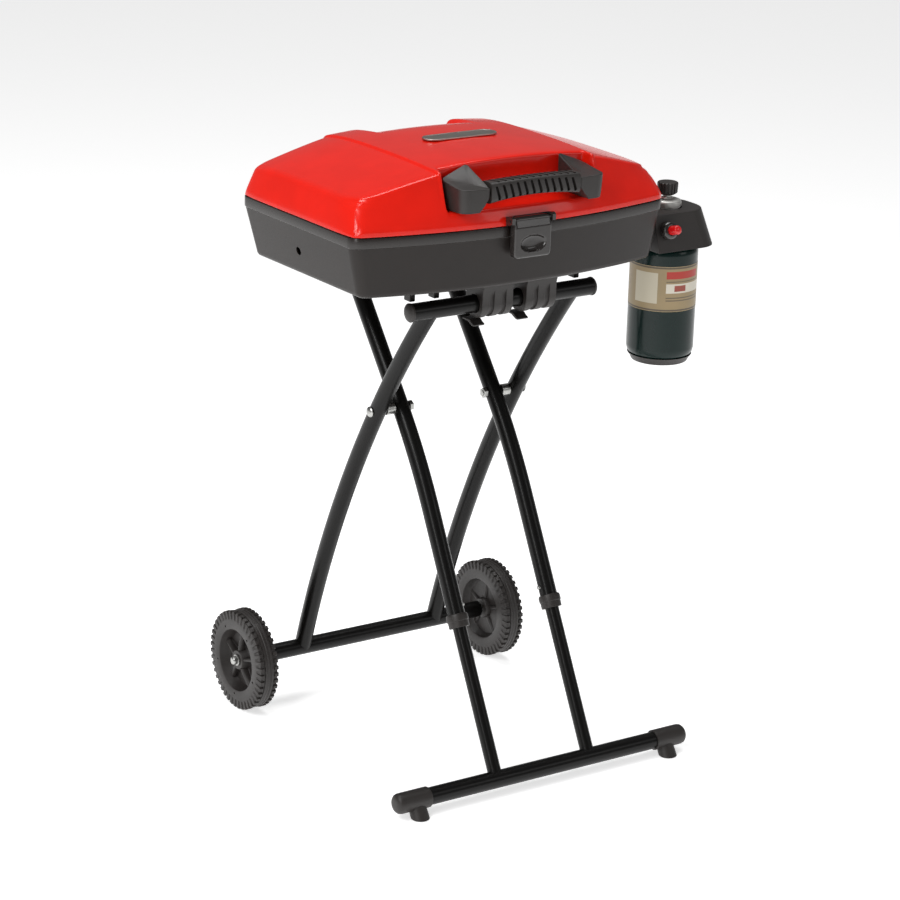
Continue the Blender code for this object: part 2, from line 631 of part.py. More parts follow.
def make_lid():
    """Pressed steel lid: an outer and an inner skin over the same stations."""
    bm = bmesh.new()
    skins = []
    for outset in (0.0, -LID_WALL):
        skin = []
        for x, share in lid_stations(outset):
            skin.append([bm.verts.new(point) for point in lid_section(x, share, outset)])
        skins.append(skin)
    for skin in skins:
        for row, following in zip(skin, skin[1:]):
            for i in range(len(row) - 1):
                bm.faces.new((row[i], row[i + 1], following[i + 1], following[i]))
    rims = []
    for skin in skins:
        rims.append([row[0] for row in skin] + skin[-1][1:]
                    + [row[-1] for row in reversed(skin[:-1])] + list(reversed(skin[0][1:-1])))
    count = len(rims[0])
    for i in range(count):
        j = (i + 1) % count
        bm.faces.new((rims[0][i], rims[0][j], rims[1][j], rims[1][i]))
    add_mesh("lid", bm, "lid_enamel", (0, *HINGE_AXIS))
    make_badge()


def make_badge():
    """Plain badge plate with round ends, on the crown of the lid."""
    reach, radius, centre_y = 0.0450, 0.0160, -0.0080
    outline = arc((reach, 0), radius, -90, 90, 6) + arc((-reach, 0), radius, 90, 270, 6)
    base = LID_Z + lid_top(0, centre_y) + GAP
    plate = prism([(x, y + centre_y) for x, y in outline], "Z", base, base + 0.0022)
    add_mesh("badge_plate", plate, "badge_metal", (0, *HINGE_AXIS))


def make_handle():
    """Two upright ends in the lid's recess with an arched grip between them."""
    inner = 0.0755
    make_handle_ends(inner)
    make_grip(inner - 0.0005)


def make_handle_ends(inner):
    """Upright ends with a leaf-shaped top face, from the recess to the front."""
    back, front, foot = RECESS_BACK - 0.0085, -0.1975, LID_Z + RECESS_Z + 0.0015
    outer, soft = 0.1215, 0.0130
    for side, sign in (("left", -1), ("right", 1)):
        base = [(inner, back), (inner + 0.002, front), (outer - soft, front),
                (outer, front + soft), (outer, back)]
        points = [(sign * x, y, foot) for x, y in base]
        top = [(inner, front, 0.8700), (outer - soft, front, 0.8660), (outer, front + soft, 0.8690),
               (outer, back, 0.8750), (inner + 0.0045, back + 0.0050, 0.8930), (inner, back, 0.8820)]
        points += [(sign * x, y, z) for x, y, z in top]
        add_mesh("handle_end_" + side, hull(points), "dark_plastic", (0, *HINGE_AXIS))


def make_grip(half):
    """An arched bar between the two ends, half long each way."""
    steps, soft = 12, 0.0060
    near, far = -0.1985, -0.1715
    rings = []
    for i in range(steps + 1):
        x = -half + 2 * half * i / steps
        rise = 0.0060 * (1 - (x / half) ** 2)
        low, high = 0.8455 + rise, 0.8750 + 0.3 * rise
        rings.append([(x, near + soft, low), (x, far - soft, low), (x, far, low + soft),
                      (x, far, high - soft), (x, far - soft, high), (x, near + soft, high),
                      (x, near, high - soft), (x, near, low + soft)])
    add_mesh("handle_grip", ring_loft(rings), "dark_plastic", (0, *HINGE_AXIS))


def make_latch():
    """Keeper on the lid's flange and the pull-down latch that hangs from it."""
    y, z = LATCH_AXIS
    face = BOX_FRONT - GAP
    centre = (LATCH_X, y, z)
    outline = [(face, LID_Z + 0.0005), (face, LID_Z + LID_FLANGE), (face + 0.0010, z + 0.0045),
               (BOX_FRONT - 0.0070, z + 0.0062), (y - 0.0010, z + 0.0062), (y - 0.0045, z + 0.0040),
               (y - 0.0045, z - 0.0045), (BOX_FRONT - 0.0040, LID_Z + 0.0005)]
    keeper = add_mesh("latch_keeper", prism(outline, "X", LATCH_X - LATCH_HALF, LATCH_X + LATCH_HALF),
                      "dark_plastic", (0, *HINGE_AXIS))
    room = LATCH_HALF - 0.0055
    notch = block((LATCH_X - room, y - 0.02, z - 0.03), (LATCH_X + room, BOX_FRONT - 0.0025, z + 0.02))
    boolean(keeper, add_mesh("latch_keeper_notch", notch, None))
    pin = turned([(-0.04, 0.0021), (0.04, 0.0021)], centre, (1, 0, 0), 12)
    boolean(keeper, add_mesh("latch_keeper_bore", pin, None))
    outer, inner, foot = y - 0.0050, y + 0.0080, LID_Z - 0.0450
    outline = [(outer, foot + 0.006), (outer + 0.003, foot), (inner - 0.001, foot), (inner, foot + 0.003),
               (inner, z - 0.0060), (y + 0.0035, z), (y + 0.0020, z + 0.0045), (y - 0.0030, z + 0.0045),
               (outer, z + 0.0020)]
    room -= 0.0005
    bm = prism(outline, "X", LATCH_X - room, LATCH_X + room)
    lever = add_mesh("latch_lever", bm, "dark_plastic", centre)
    reach = LATCH_HALF - 0.0015
    axle = turned([(-reach, 0.0018), (reach, 0.0018)], centre, (1, 0, 0), 12)
    boolean(lever, add_mesh("latch_lever_axle", axle, None), "UNION")
    scoop = turned([(-0.0200, 0.0120), (-0.0180, 0.0150), (0.0180, 0.0150), (0.0200, 0.0120)],
                   (LATCH_X, outer - 0.0085, foot + 0.0190), (1, 0, 0), 20)
    boolean(lever, add_mesh("latch_lever_scoop", scoop, None))


def make_hinges():
    """Rear lid hinges: a leaf on the box, a leaf on the lid and a pin through both."""
    y, z = HINGE_AXIS
    back = BOX_RIM[2]
    for side, sign in (("left", -1), ("right", 1)):
        x = sign * HINGE_X
        leaves = {
            "box": ((back + GAP, z - 0.0140), (back + GAP + 0.0015, z + 0.0008), [(-0.0095, 0.0095)]),
            "lid": ((back + GAP, z + 0.0014), (back + GAP + 0.0015, z + 0.0092),
                    [(-0.0200, -0.0100), (0.0100, 0.0200)]),
        }
        for owner, (low, high, knuckles) in leaves.items():
            plate = block((x - 0.020, low[0], low[1]), (x + 0.020, high[0], high[1]))
            origin = (0, *HINGE_AXIS)
            leaf = add_mesh("hinge_%s_%s" % (owner, side), plate, "zinc", origin)
            if owner == "box":
                gap_cuts = [(-0.021, -0.0097), (0.0097, 0.021)]
                edge = (z - 0.0062, z + 0.01)
            else:
                gap_cuts = [(-0.0097, 0.0097)]
                edge = (z - 0.01, z + 0.0062)
            for i, (a, b) in enumerate(gap_cuts):
                cutter = block((x + a, back, edge[0]), (x + b, back + 0.01, edge[1]))
                boolean(leaf, add_mesh("%s_gap_%d" % (leaf.name, i), cutter, None))
            for i, (a, b) in enumerate(knuckles):
                barrel = turned([(a, 0.0056), (b, 0.0056)], (x, y, z), (1, 0, 0), 16)
                boolean(leaf, add_mesh("%s_barrel_%d" % (leaf.name, i), barrel, None), "UNION")
            keep_off = block((x - 0.03, back - 0.01, z - 0.03), (x + 0.03, back + GAP, z + 0.03))
            boolean(leaf, add_mesh(leaf.name + "_face", keep_off, None))
            bore = turned([(-0.03, 0.0024), (0.03, 0.0024)], (x, y, z), (1, 0, 0), 12)
            boolean(leaf, add_mesh(leaf.name + "_bore", bore, None))
        pin = [(-0.0225, 0.0030), (-0.0204, 0.0030), (-0.0204, 0.0020), (0.0204, 0.0020),
               (0.0204, 0.0030), (0.0225, 0.0030)]
        add_mesh("hinge_pin_" + side, turned(pin, (x, y, z), (1, 0, 0), 12), "zinc", (0, *HINGE_AXIS))


# ---------------------------------------------------------------- gas side
def hood_outline(inset, top):
    """X, Y points round the hood: square to the box, rounded at its outer end."""
    x0, x1 = HOOD_X[0] + inset, HOOD_X[1] - inset
    y0, y1 = HOOD_Y[0] + inset, HOOD_Y[1] - inset
    if top:
        y0 += (HOOD_Z[1] - HOOD_Z[0]) * math.tan(HOOD_TILT)
        x1 -= 0.0110
        y1 -= 0.0060
    corner = 0.036 - inset
    right = arc((x1 - corner, y0 + corner), corner, -90, 0, 6)
    right += arc((x1 - corner, y1 - corner), corner, 0, 90, 6)
    return [(x0, y0)] + right + [(x0, y1)]


def make_hood():
    """Moulded cover over the regulator, open below where the cylinder screws in."""
    low, high = HOOD_Z
    wall = 0.0022

    def ring(inset, top, z):
        return [(x, y, z) for x, y in hood_outline(inset, top)]

    rings = [ring(0, False, low), ring(0.0006, True, high - 0.0030), ring(0.0035, True, high),
             ring(wall + 0.0030, True, high - wall), ring(wall, False, low)]
    bm = bmesh.new()
    loops = [[bm.verts.new(point) for point in points] for points in rings]
    count = len(loops[0])
    for lower, upper in zip(loops, loops[1:] + loops[:1]):
        if lower is loops[2]:
            continue
        for i in range(count):
            j = (i + 1) % count
            bm.faces.new((lower[i], lower[j], upper[j], upper[i]))
    bm.faces.new(loops[2])
    bm.faces.new(loops[3])
    hood = add_mesh("regulator_hood", bm, "dark_plastic")
    top = turned([(0, 0.0180), (0.02, 0.0180)], (*GAS_AXIS, high - 0.01), (0, 0, 1), 24)
    boolean(hood, add_mesh("regulator_hood_hole", top, None))
    pipe = turned([(0, 0.0090), (0.02, 0.0090)], (HOOD_X[0] - 0.01, GAS_AXIS[1], 0.7560), (1, 0, 0), 16)
    boolean(hood, add_mesh("regulator_hood_pipe", pipe, None))
    point, normal = igniter_frame()
    bore = turned([(-0.01, 0.0082), (0.01, 0.0082)], point, normal, 16)
    boolean(hood, add_mesh("regulator_hood_igniter", bore, None))


def igniter_frame():
    """Where the igniter stands on the slanted panel, and the panel's outward normal."""
    x, z = IGNITER_AT
    y = HOOD_Y[0] + (z - HOOD_Z[0]) * math.tan(HOOD_TILT)
    return Vector((x, y, z)), Vector((0, -math.cos(HOOD_TILT), math.sin(HOOD_TILT)))


def make_gas_parts():
    """Regulator, knob, igniter and cylinder on the gas side."""
    axis = Vector((*GAS_AXIS, 0))
    up = (0, 0, 1)
    regulator = [(0.7500, 0.0110), (0.7520, 0.0145), (0.7640, 0.0145), (0.7660, 0.0172),
                 (HOOD_Z[1] + 0.0006, 0.0172), (HOOD_Z[1] + 0.0006, 0.0215), (0.7840, 0.0215),
                 (0.7868, 0.0190), (0.7880, 0.0080), (0.7925, 0.0062), (0.8000, 0.0062)]
    add_mesh("regulator_body", turned(regulator, axis, up, 20), "zinc")
    make_knob()
    point, normal = igniter_frame()
    collar = [(-0.0120, 0.0078), (GAP, 0.0078), (GAP, 0.0130), (0.0095, 0.0125), (0.0120, 0.0105),
              (0.0120, 0.0072), (-0.0120, 0.0072)]
    add_mesh("igniter_collar", turned(collar, point, normal, 16, closed=True), "dark_plastic")
    button = [(-0.0100, 0.0068), (0.0250, 0.0068), (0.0270, 0.0060), (0.0280, 0.0035)]
    add_mesh("igniter_button", turned(button, point, normal, 12), "red_button", point)
    base, radius = CYLINDER_BASE, CYLINDER_R
    body = [(base + 0.0060, radius - 0.0160), (base + 0.0060, radius - 0.0100),
            (base + 0.0105, radius - 0.0045), (base + 0.0180, radius - 0.0006), (base + 0.0230, radius),
            (0.7100, radius), (0.7150, radius - 0.0010), (0.7230, radius - 0.0060),
            (0.7300, radius - 0.0170), (0.7345, radius - 0.0300), (0.7360, 0.0165), (0.7380, 0.0150),
            (0.7495, 0.0120)]
    add_mesh("gas_cylinder", turned(body, axis, up, 24), "gas_green")
    rim = base + 0.0060 - GAP
    foot = [(base, 0.0385), (base, 0.0415), (rim, 0.0422), (rim, 0.0340), (rim - 0.0014, 0.0340),
            (rim - 0.0014, 0.0385)]
    add_mesh("cylinder_foot", turned(foot, axis, up, 24, closed=True), "dark_plastic")


def make_knob():
    """Ribbed control knob over the regulator's stem."""
    ribs = 18
    rings = []
    for z, radius, depth in ((0.7935, 0.0105, 0), (0.7960, 0.0138, 0), (0.7975, 0.0150, 0.0012),
                             (0.8110, 0.0156, 0.0012), (0.8125, 0.0142, 0)):
        ring = []
        for i in range(2 * ribs):
            reach = radius - depth * (i % 2)
            angle = math.pi * i / ribs
            ring.append((GAS_AXIS[0] + reach * math.cos(angle), GAS_AXIS[1] + reach * math.sin(angle), z))
        rings.append(ring)
    knob = add_mesh("control_knob", ring_loft(rings), "dark_plastic", (*GAS_AXIS, 0.80))
    bore = turned([(0, 0.0066), (0.0120, 0.0066)], (*GAS_AXIS, 0.7900), (0, 0, 1), 16)
    boolean(knob, add_mesh("control_knob_bore", bore, None))


# ---------------------------------------------------------------- supports under the box
def make_clips():
    """Ribbed clips that carry the box on the front tube, each with a release lever."""
    y, z = FRONT_TUBE
    reach = 0.0180
    for side, left, right in (("left", -0.0480, 0.0040), ("right", 0.0270, 0.0790)):
        body = [(y - 0.0240, BOX_Z - GAP), (y - 0.0240, BOX_Z - 0.0040), (y - reach, z + 0.012)]
        body += arc((y, z), reach, 180, 360, 12)
        body += [(y + reach, z + 0.012), (y + 0.0240, BOX_Z - 0.0040), (y + 0.0240, BOX_Z - GAP)]
        clip = add_mesh("clip_" + side, prism(body, "X", left, right), "dark_plastic", (0, y, z))
        rib, count = 0.0120, 3
        pitch = (right - left - rib) / (count - 1)
        for i in range(count):
            start = left + pitch * i
            shape = [(y - reach - 0.0030, BOX_Z - 0.0050)] + arc((y, z), reach + 0.0030, 180, 360, 12)
            shape += [(y + reach + 0.0030, BOX_Z - 0.0050)]
            end = add_mesh("clip_%s_rib_%d" % (side, i), prism(shape, "X", start, start + rib), None)
            boolean(clip, end, "UNION")
        bore = [(left - 0.01, TUBE_R + GAP), (right + 0.01, TUBE_R + GAP)]
        cutter = bored(bore, (0, y, z), (1, 0, 0), 24)
        boolean(clip, add_mesh("clip_%s_bore" % side, cutter, None))
        hinge = Vector((0, y + 0.0010, z - reach - 0.0085))
        shape = [(-0.0030, 0.0046), (0.0150, 0.0046), (0.0165, 0.0020), (0.0030, 0.0015),
                 (-0.0070, -0.0030), (-0.0125, -0.0036), (-0.0135, -0.0012), (-0.0080, 0.0010)]
        tongue = [(hinge.y + along, hinge.z + rise) for along, rise in shape]
        bm = prism(tongue, "X", left - 0.0080, left + 0.0110)
        add_mesh("clip_lever_" + side, bm, "dark_plastic", hinge)


def make_rear_rests():
    """Saddles under the back of the box that sit down over the rear cross tube."""
    y, z = REAR_TUBE
    for side, sign in (("left", -1), ("right", 1)):
        x = sign * 0.045
        body = [(y - 0.0180, BOX_Z - GAP), (y - 0.0180, z - 0.0020), (y + 0.0165, z - 0.0020),
                (y + 0.0165, z + 0.0170), (y - 0.0060, BOX_Z - GAP)]
        rest = add_mesh("rear_rest_" + side, prism(body, "X", x - 0.016, x + 0.016), "dark_plastic")
        groove = bored([(-0.03, TUBE_R + GAP), (0.03, TUBE_R + GAP)], (x, y, z), (1, 0, 0), 24)
        boolean(rest, add_mesh("rear_rest_%s_groove" % side, groove, None))
        mouth = block((x - 0.03, y - TUBE_R - GAP, z - 0.01), (x + 0.03, y + TUBE_R + GAP, z))
        boolean(rest, add_mesh("rear_rest_%s_mouth" % side, mouth, None))


def main():
    clear_scene()
    stand = bpy.data.objects.new("stand", None)
    stand.location = (*STAND_SHIFT, 0)
    bpy.context.scene.collection.objects.link(stand)
    make_wheel_frame()
    make_pivots()
    make_wheels()
    make_foot_frame()
    make_foot_extension()
    make_firebox()
    make_burner()
    make_cooktops()
    make_lid()
    make_handle()
    make_latch()
    make_hinges()
    make_hood()
    make_gas_parts()
    make_clips()
    make_rear_rests()


main()
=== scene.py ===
"""Looks of a folding gas grill on a wheeled scissor stand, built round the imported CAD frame."""

import math

import bmesh
import bpy
from mathutils import Matrix, Vector


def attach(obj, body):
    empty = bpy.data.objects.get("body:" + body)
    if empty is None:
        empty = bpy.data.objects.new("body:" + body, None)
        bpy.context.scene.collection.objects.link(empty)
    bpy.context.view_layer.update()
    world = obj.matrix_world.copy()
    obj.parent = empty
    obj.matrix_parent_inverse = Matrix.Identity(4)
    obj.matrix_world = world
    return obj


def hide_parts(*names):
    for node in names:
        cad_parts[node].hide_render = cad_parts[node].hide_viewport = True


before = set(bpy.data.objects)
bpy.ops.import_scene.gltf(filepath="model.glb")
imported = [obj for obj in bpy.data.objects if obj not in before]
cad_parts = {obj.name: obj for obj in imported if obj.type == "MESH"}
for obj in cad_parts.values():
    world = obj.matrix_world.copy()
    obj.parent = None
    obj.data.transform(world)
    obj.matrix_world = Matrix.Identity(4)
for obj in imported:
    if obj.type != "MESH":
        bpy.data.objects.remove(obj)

bl_info = {
    "name": "Folding gas grill",
    "version": (1, 0, 0),
    "blender": (4, 5, 0),
    "location": "View3D > Sidebar > Grill",
    "description": "Builds the visible pieces and finishes of a folding gas grill",
    "category": "Object",
}

STAND = Vector((-0.0602, 0.0117, 0.0))
SIDES = (("left", -1), ("right", 1))

# Places and sizes in metres, from the middle of the stand.
TUBE_R, LOWER_LEG_R = 0.0127, 0.0100
FRONT_TUBE, FRONT_TUBE_HALF = (-0.1262, 0.6860), 0.154
REAR_TUBE, REAR_TUBE_HALF = (0.14426, 0.6860), 0.105
AXLE, AXLE_TUBE_HALF = (0.1958, 0.0762), 0.2045
WHEEL_X, WHEEL_R, WHEEL_HALF = 0.2236, 0.0762, 0.0158
CURVED_LEG_X, CURVED_LEG_SAG, FOOT_LEG_X = 0.1207, 0.033, 0.0815
PIVOT = (0.00183, 0.505)
FOOT_BAR, FOOT_BAR_HALF = (-0.26822, 0.0235), 0.246
LEG_SLOPE, LEG_BEND = math.radians(62.2), math.radians(10.4)
LEG_STRAIGHT, LEG_BEND_R, LEG_END = 0.392, 0.9, 0.7657
UPPER_LEG_END, SPRING_BUTTON_AT = 0.2265, 0.254
BOX_RIM = (0.2655, -0.1480, 0.1530, 0.0365, 0.0210)
BOX_BOTTOM = (0.2495, -0.1455, 0.1430, 0.0320, 0.0190)
BOX_Z, RIM_Z, RIM_BAND, RIM_STEP, BOX_WALL = 0.720, 0.8075, 0.0145, 0.0020, 0.0015
LID_Z, LID_WALL, LID_FLANGE = 0.8085, 0.0014, 0.008
BAND_HALF, BAND_TOP, BAND_STEP, BAND_CROWN = 0.131, 0.0885, 0.003, 0.006
SHOULDER_HALF, SHOULDER_TOP, LID_PEAK_Y = 0.252, 0.045, -0.015
LID_FRONT_FALL, LID_REAR_FALL = 0.23, 14
LID_REAR_EDGE, LID_FRONT_EDGE = 0.008, 0.024
RECESS_HALF, RECESS_Z, RECESS_BACK = 0.127, 0.025, -0.134
DISH_HALF, DISH_START, DISH_SLOPE = 0.080, 0.078, 0.20
GAS_AXIS, CYLINDER_R, CYLINDER_BASE = (0.3235, -0.080), 0.050, 0.544
HOOD_Z, HOOD_X, HOOD_Y = (0.722, 0.776), (0.2690, 0.386), (-0.137, -0.027)
HOOD_TILT = math.radians(15)
LATCH_X, LATCH_AXIS = -0.003, (-0.1951, 0.8175)
GRIP_HALF, GRIP_NEAR, GRIP_FAR = 0.0750, -0.1985, -0.1715
GRIP_LOW, GRIP_HIGH, GRIP_RISE = 0.8455, 0.8750, 0.0060
BURNER_HALF, BURNER_R, BURNER_Z, PORTS = (0.150, 0.075), 0.0080, 0.7560, 40
HINGE_X, IGNITER_X, IGNITER_Z = 0.150, 0.288, 0.753
SPOKES, SPOKE_TURN, PEG_HOLE_REACH = 5, 0.35, 0.0540
WELD = 0.000002


def linear(code):
    """A linear colour from an sRGB hex string."""
    parts = [int(code[i:i + 2], 16) / 255 for i in (1, 3, 5)]
    return tuple(c / 12.92 if c <= 0.04045 else ((c + 0.055) / 1.055) ** 2.4 for c in parts)


# ---------------------------------------------------------------- settings
class GrillLooks(bpy.types.PropertyGroup):
    """Colours and sizes that a user would change."""

    def colour(title, text, code):
        return bpy.props.FloatVectorProperty(
            name=title, description=text, default=linear(code), subtype="COLOR", size=3, min=0, max=1)

    def length(title, text, metres):
        return bpy.props.FloatProperty(
            name=title, description=text, default=metres, min=0, unit="LENGTH", precision=5)

    lid: colour("Lid", "Enamel of the lid", "#e21c0c")
    box: colour("Box", "Enamel of the firebox", "#1f1916")
    tubes: colour("Tubes", "Paint of the stand's tubes", "#0a0908")
    plastic: colour("Plastic", "Moulded handle, latch and hood", "#292523")
    wheels: colour("Wheels", "Moulded wheels", "#2b2725")
    cylinder: colour("Cylinder", "Paint of the gas cylinder", "#071f1c")
    paper: colour("Paper band", "Printed band round the cylinder", "#a08c68")
    button: colour("Button", "Igniter button", "#d80f12")
    lug_depth: length("Lug depth", "Depth of the grooves between the wheel lugs", 0.0028)
    lug_count: bpy.props.IntProperty(
        name="Lugs", description="Lugs round each row of a wheel", default=44, min=12, max=80)
    slot_width: length("Slot width", "Width of the slots in the grip", 0.0046)
    slot_count: bpy.props.IntProperty(
        name="Grip slots", description="Slots in each row of the grip", default=12, min=4, max=20)
    soft_edge: length("Soft edge", "Rounding of moulded edges", 0.0009)
    lens: bpy.props.FloatProperty(
        name="Lens", description="Focal length of the view", default=124.24, min=20, unit="CAMERA")


def looks():
    """The grill's settings in this scene."""
    return bpy.context.scene.grill_looks


# ---------------------------------------------------------------- modelling by hand
def at(x, y, z):
    """A point of the stand in the frame's coordinates."""
    return Vector((x, y, z)) + STAND


def deselect():
    """Leave edit mode with nothing selected."""
    if bpy.context.object and bpy.context.object.mode != "OBJECT":
        bpy.ops.object.mode_set(mode="OBJECT")
    bpy.ops.object.select_all(action="DESELECT")


def take_up(obj):
    """Make obj the only selected and the active object."""
    deselect()
    obj.select_set(True)
    bpy.context.view_layer.objects.active = obj
    return obj


def modify(obj, kind, **settings):
    """Add a modifier and apply it."""
    take_up(obj)
    modifier = obj.modifiers.new(kind.title(), kind)
    for key, value in settings.items():
        setattr(modifier, key, value)
    bpy.ops.object.modifier_apply(modifier=modifier.name)
    return obj


def soften(obj, width=None, segments=3, angle=30):
    """Round the edges that turn more than angle."""
    if width is None:
        width = looks().soft_edge
    return modify(obj, "BEVEL", width=width, segments=segments, limit_method="ANGLE",
                  angle_limit=math.radians(angle), use_clamp_overlap=True, harden_normals=False)


def cut(obj, cutter, operation="DIFFERENCE", solver="EXACT"):
    """Cut a closed piece from obj, or with UNION melt the two together. The cutter is used up."""
    modify(obj, "BOOLEAN", object=cutter, operation=operation, solver=solver)
    bpy.data.objects.remove(cutter, do_unlink=True)
    return obj


def join(pieces, name):
    """One object from several, under a new name."""
    deselect()
    for piece in pieces:
        piece.select_set(True)
    bpy.context.view_layer.objects.active = pieces[0]
    bpy.ops.object.join()
    return rename(bpy.context.object, name)


def rename(obj, name):
    """Give an object and its mesh one name."""
    obj.name = obj.data.name = name
    return obj


def skin(name, rows, rolled=False, capped=False):
    """A grid laid over rows of points. Rolled joins the ends of each row, capped fills the open ends."""
    deselect()
    cells = len(rows[0]) if rolled else len(rows[0]) - 1
    bpy.ops.mesh.primitive_grid_add(x_subdivisions=cells, y_subdivisions=len(rows) - 1, size=1,
                                    location=(0, 0, 0))
    obj = rename(bpy.context.object, name)
    spots = [point for row in rows for point in (list(row) + [row[0]] if rolled else row)]
    for vertex, spot in zip(obj.data.vertices, spots, strict=True):
        vertex.co = spot
    bpy.ops.object.mode_set(mode="EDIT")
    bpy.ops.mesh.select_all(action="SELECT")
    bpy.ops.mesh.remove_doubles(threshold=WELD)
    if capped:
        bpy.ops.mesh.fill_holes(sides=0)
    bpy.ops.mesh.normals_make_consistent(inside=False)
    bpy.ops.object.mode_set(mode="OBJECT")
    return obj


def ring(centre, axis, radius, sides=48):
    """Points of a circle square to axis."""
    axis = Vector(axis).normalized()
    helper = Vector((1, 0, 0)) if abs(axis.x) < 0.9 else Vector((0, 1, 0))
    side = axis.cross(helper).normalized()
    up = axis.cross(side)
    return [Vector(centre) + radius * (math.cos(math.tau * i / sides) * side
                                       + math.sin(math.tau * i / sides) * up) for i in range(sides)]


def turned(name, profile, base, axis, sides=48, closed=False):
    """A turned piece from (distance, radius) pairs along axis from base."""
    direction = Vector(axis).normalized()
    rows = [ring(Vector(base) + along * direction, direction, radius, sides) for along, radius in profile]
    if closed:
        rows.append(rows[0])
    return skin(name, rows, rolled=True, capped=not closed)


def tube(name, points, radius):
    """A round tube bent along points, as a curve with a bevel made a mesh."""
    deselect()
    bpy.ops.curve.primitive_bezier_curve_add(location=(0, 0, 0))
    obj = bpy.context.object
    obj.data.splines.clear()
    spline = obj.data.splines.new("POLY")
    spline.points.add(len(points) - 1)
    for spot, point in zip(spline.points, points):
        spot.co = (*point, 1.0)
    obj.data.dimensions = "3D"
    obj.data.bevel_depth = radius
    obj.data.bevel_resolution = 14
    obj.data.use_fill_caps = True
    bpy.ops.object.convert(target="MESH")
    obj = rename(bpy.context.object, name)
    bpy.ops.object.mode_set(mode="EDIT")
    bpy.ops.mesh.select_all(action="SELECT")
    bpy.ops.mesh.remove_doubles(threshold=WELD)
    bpy.ops.mesh.normals_make_consistent(inside=False)
    bpy.ops.object.mode_set(mode="OBJECT")
    return obj


def slab(name, low, high, soft=0.0, turn=None):
    """A cube shaped to two corners, its edges rounded by soft; turn is a rotation about its middle."""
    deselect()
    low, high = Vector(low), Vector(high)
    bpy.ops.mesh.primitive_cube_add(size=1, location=(0, 0, 0))
    obj = rename(bpy.context.object, name)
    obj.data.transform(Matrix.Diagonal((*(high - low), 1)))
    if soft:
        soften(obj, soft, 3)
    obj.data.transform(Matrix.Translation((low + high) / 2) @ (turn or Matrix()))
    return obj


def refined(node, name, width=None, segments=3, angle=30):
    """A merged copy of a CAD node with rounded edges, to stand for it."""
    deselect()
    obj = bpy.data.objects.new(name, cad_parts[node].data.copy())
    obj.data.name = name
    bpy.context.scene.collection.objects.link(obj)
    take_up(obj)
    bpy.ops.object.mode_set(mode="EDIT")
    bpy.ops.mesh.select_all(action="SELECT")
    bpy.ops.mesh.remove_doubles(threshold=0.00001)
    bpy.ops.mesh.dissolve_limited(angle_limit=math.radians(1.0))
    bpy.ops.object.mode_set(mode="OBJECT")
    return soften(obj, width, segments, angle)


def copied(obj, name, move=Matrix()):
    """A copy with a mesh of its own, moved by a matrix."""
    made = bpy.data.objects.new(name, obj.data.copy())
    made.data.name = name
    made.data.transform(move)
    if move.determinant() < 0:
        made.data.flip_normals()
    bpy.context.scene.collection.objects.link(made)
    return made


def mirror_x():
    """Mirror across the middle of the stand."""
    return Matrix.Translation(STAND) @ Matrix.Diagonal((-1, 1, 1, 1)) @ Matrix.Translation(-STAND)


def turn_about(centre, axis, angle):
    """A turn about an axis through centre."""
    return Matrix.Translation(centre) @ Matrix.Rotation(angle, 4, axis) @ Matrix.Translation(-Vector(centre))


def done(obj, body, finish, stands_for=(), angle=35, weighted=True):
    """Smooth, paint and hand a piece to its body."""
    take_up(obj)
    bpy.ops.object.shade_smooth_by_angle(angle=math.radians(angle))
    if weighted:
        modify(obj, "WEIGHTED_NORMAL", keep_sharp=True)
    obj.data.materials.clear()
    obj.data.materials.append(finish)
    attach(obj, body)
    if stands_for:
        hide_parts(*stands_for)
    return obj


# ---------------------------------------------------------------- finishes
def add_node(tree, kind, inputs=(), **settings):
    """Add a shader node, set its options, and set or link its inputs."""
    made = tree.nodes.new("ShaderNode" + kind)
    for key, value in settings.items():
        setattr(made, key, value)
    for key, value in dict(inputs).items():
        if isinstance(value, bpy.types.NodeSocket):
            tree.links.new(value, made.inputs[key])
        else:
            made.inputs[key].default_value = value
    return made


def per_metre(millimetres):
    """The scale of a noise or cell pattern whose features are this wide."""
    return 1000.0 / millimetres


def surface(name, colour, shade, roughness, grain, relief, shader=(), cloud=45.0):
    """A finish with slow changes of colour, and a grain in its gloss and its relief.

    The colour fades to shade times itself, and the gloss runs between the two roughnesses.
    grain and cloud are feature widths, and relief is a height, in millimetres.
    """
    made = bpy.data.materials.get(name)
    if made:
        return made
    made = bpy.data.materials.new(name)
    made.use_nodes = True
    tree = made.node_tree
    spot = add_node(tree, "TexCoord").outputs["Object"]
    slow, fine = [add_node(tree, "TexNoise", {"Vector": spot, "Scale": per_metre(width), "Detail": detail})
                  for width, detail in ((cloud, 3.0), (grain, 4.0))]
    slow, fine = slow.outputs["Fac"], fine.outputs["Fac"]
    share = add_node(tree, "MapRange", {"Value": slow, "From Min": 0.35, "From Max": 0.65})
    mix = add_node(tree, "Mix", data_type="RGBA")
    tree.links.new(share.outputs["Result"], mix.inputs["Factor"])
    mix.inputs["A"].default_value = (*colour, 1)
    mix.inputs["B"].default_value = (*[c * shade for c in colour], 1)
    gloss = add_node(tree, "MapRange", {"Value": fine, "From Min": 0.3, "From Max": 0.7,
                                        "To Min": roughness[0], "To Max": roughness[1]})
    bump = add_node(tree, "Bump", {"Height": fine, "Strength": 0.6, "Distance": relief / 1000})
    bsdf = tree.nodes["Principled BSDF"]
    for key, value in dict(shader).items():
        bsdf.inputs[key].default_value = value
    tree.links.new(mix.outputs["Result"], bsdf.inputs["Base Color"])
    tree.links.new(gloss.outputs["Result"], bsdf.inputs["Roughness"])
    tree.links.new(bump.outputs["Normal"], bsdf.inputs["Normal"])
    return made


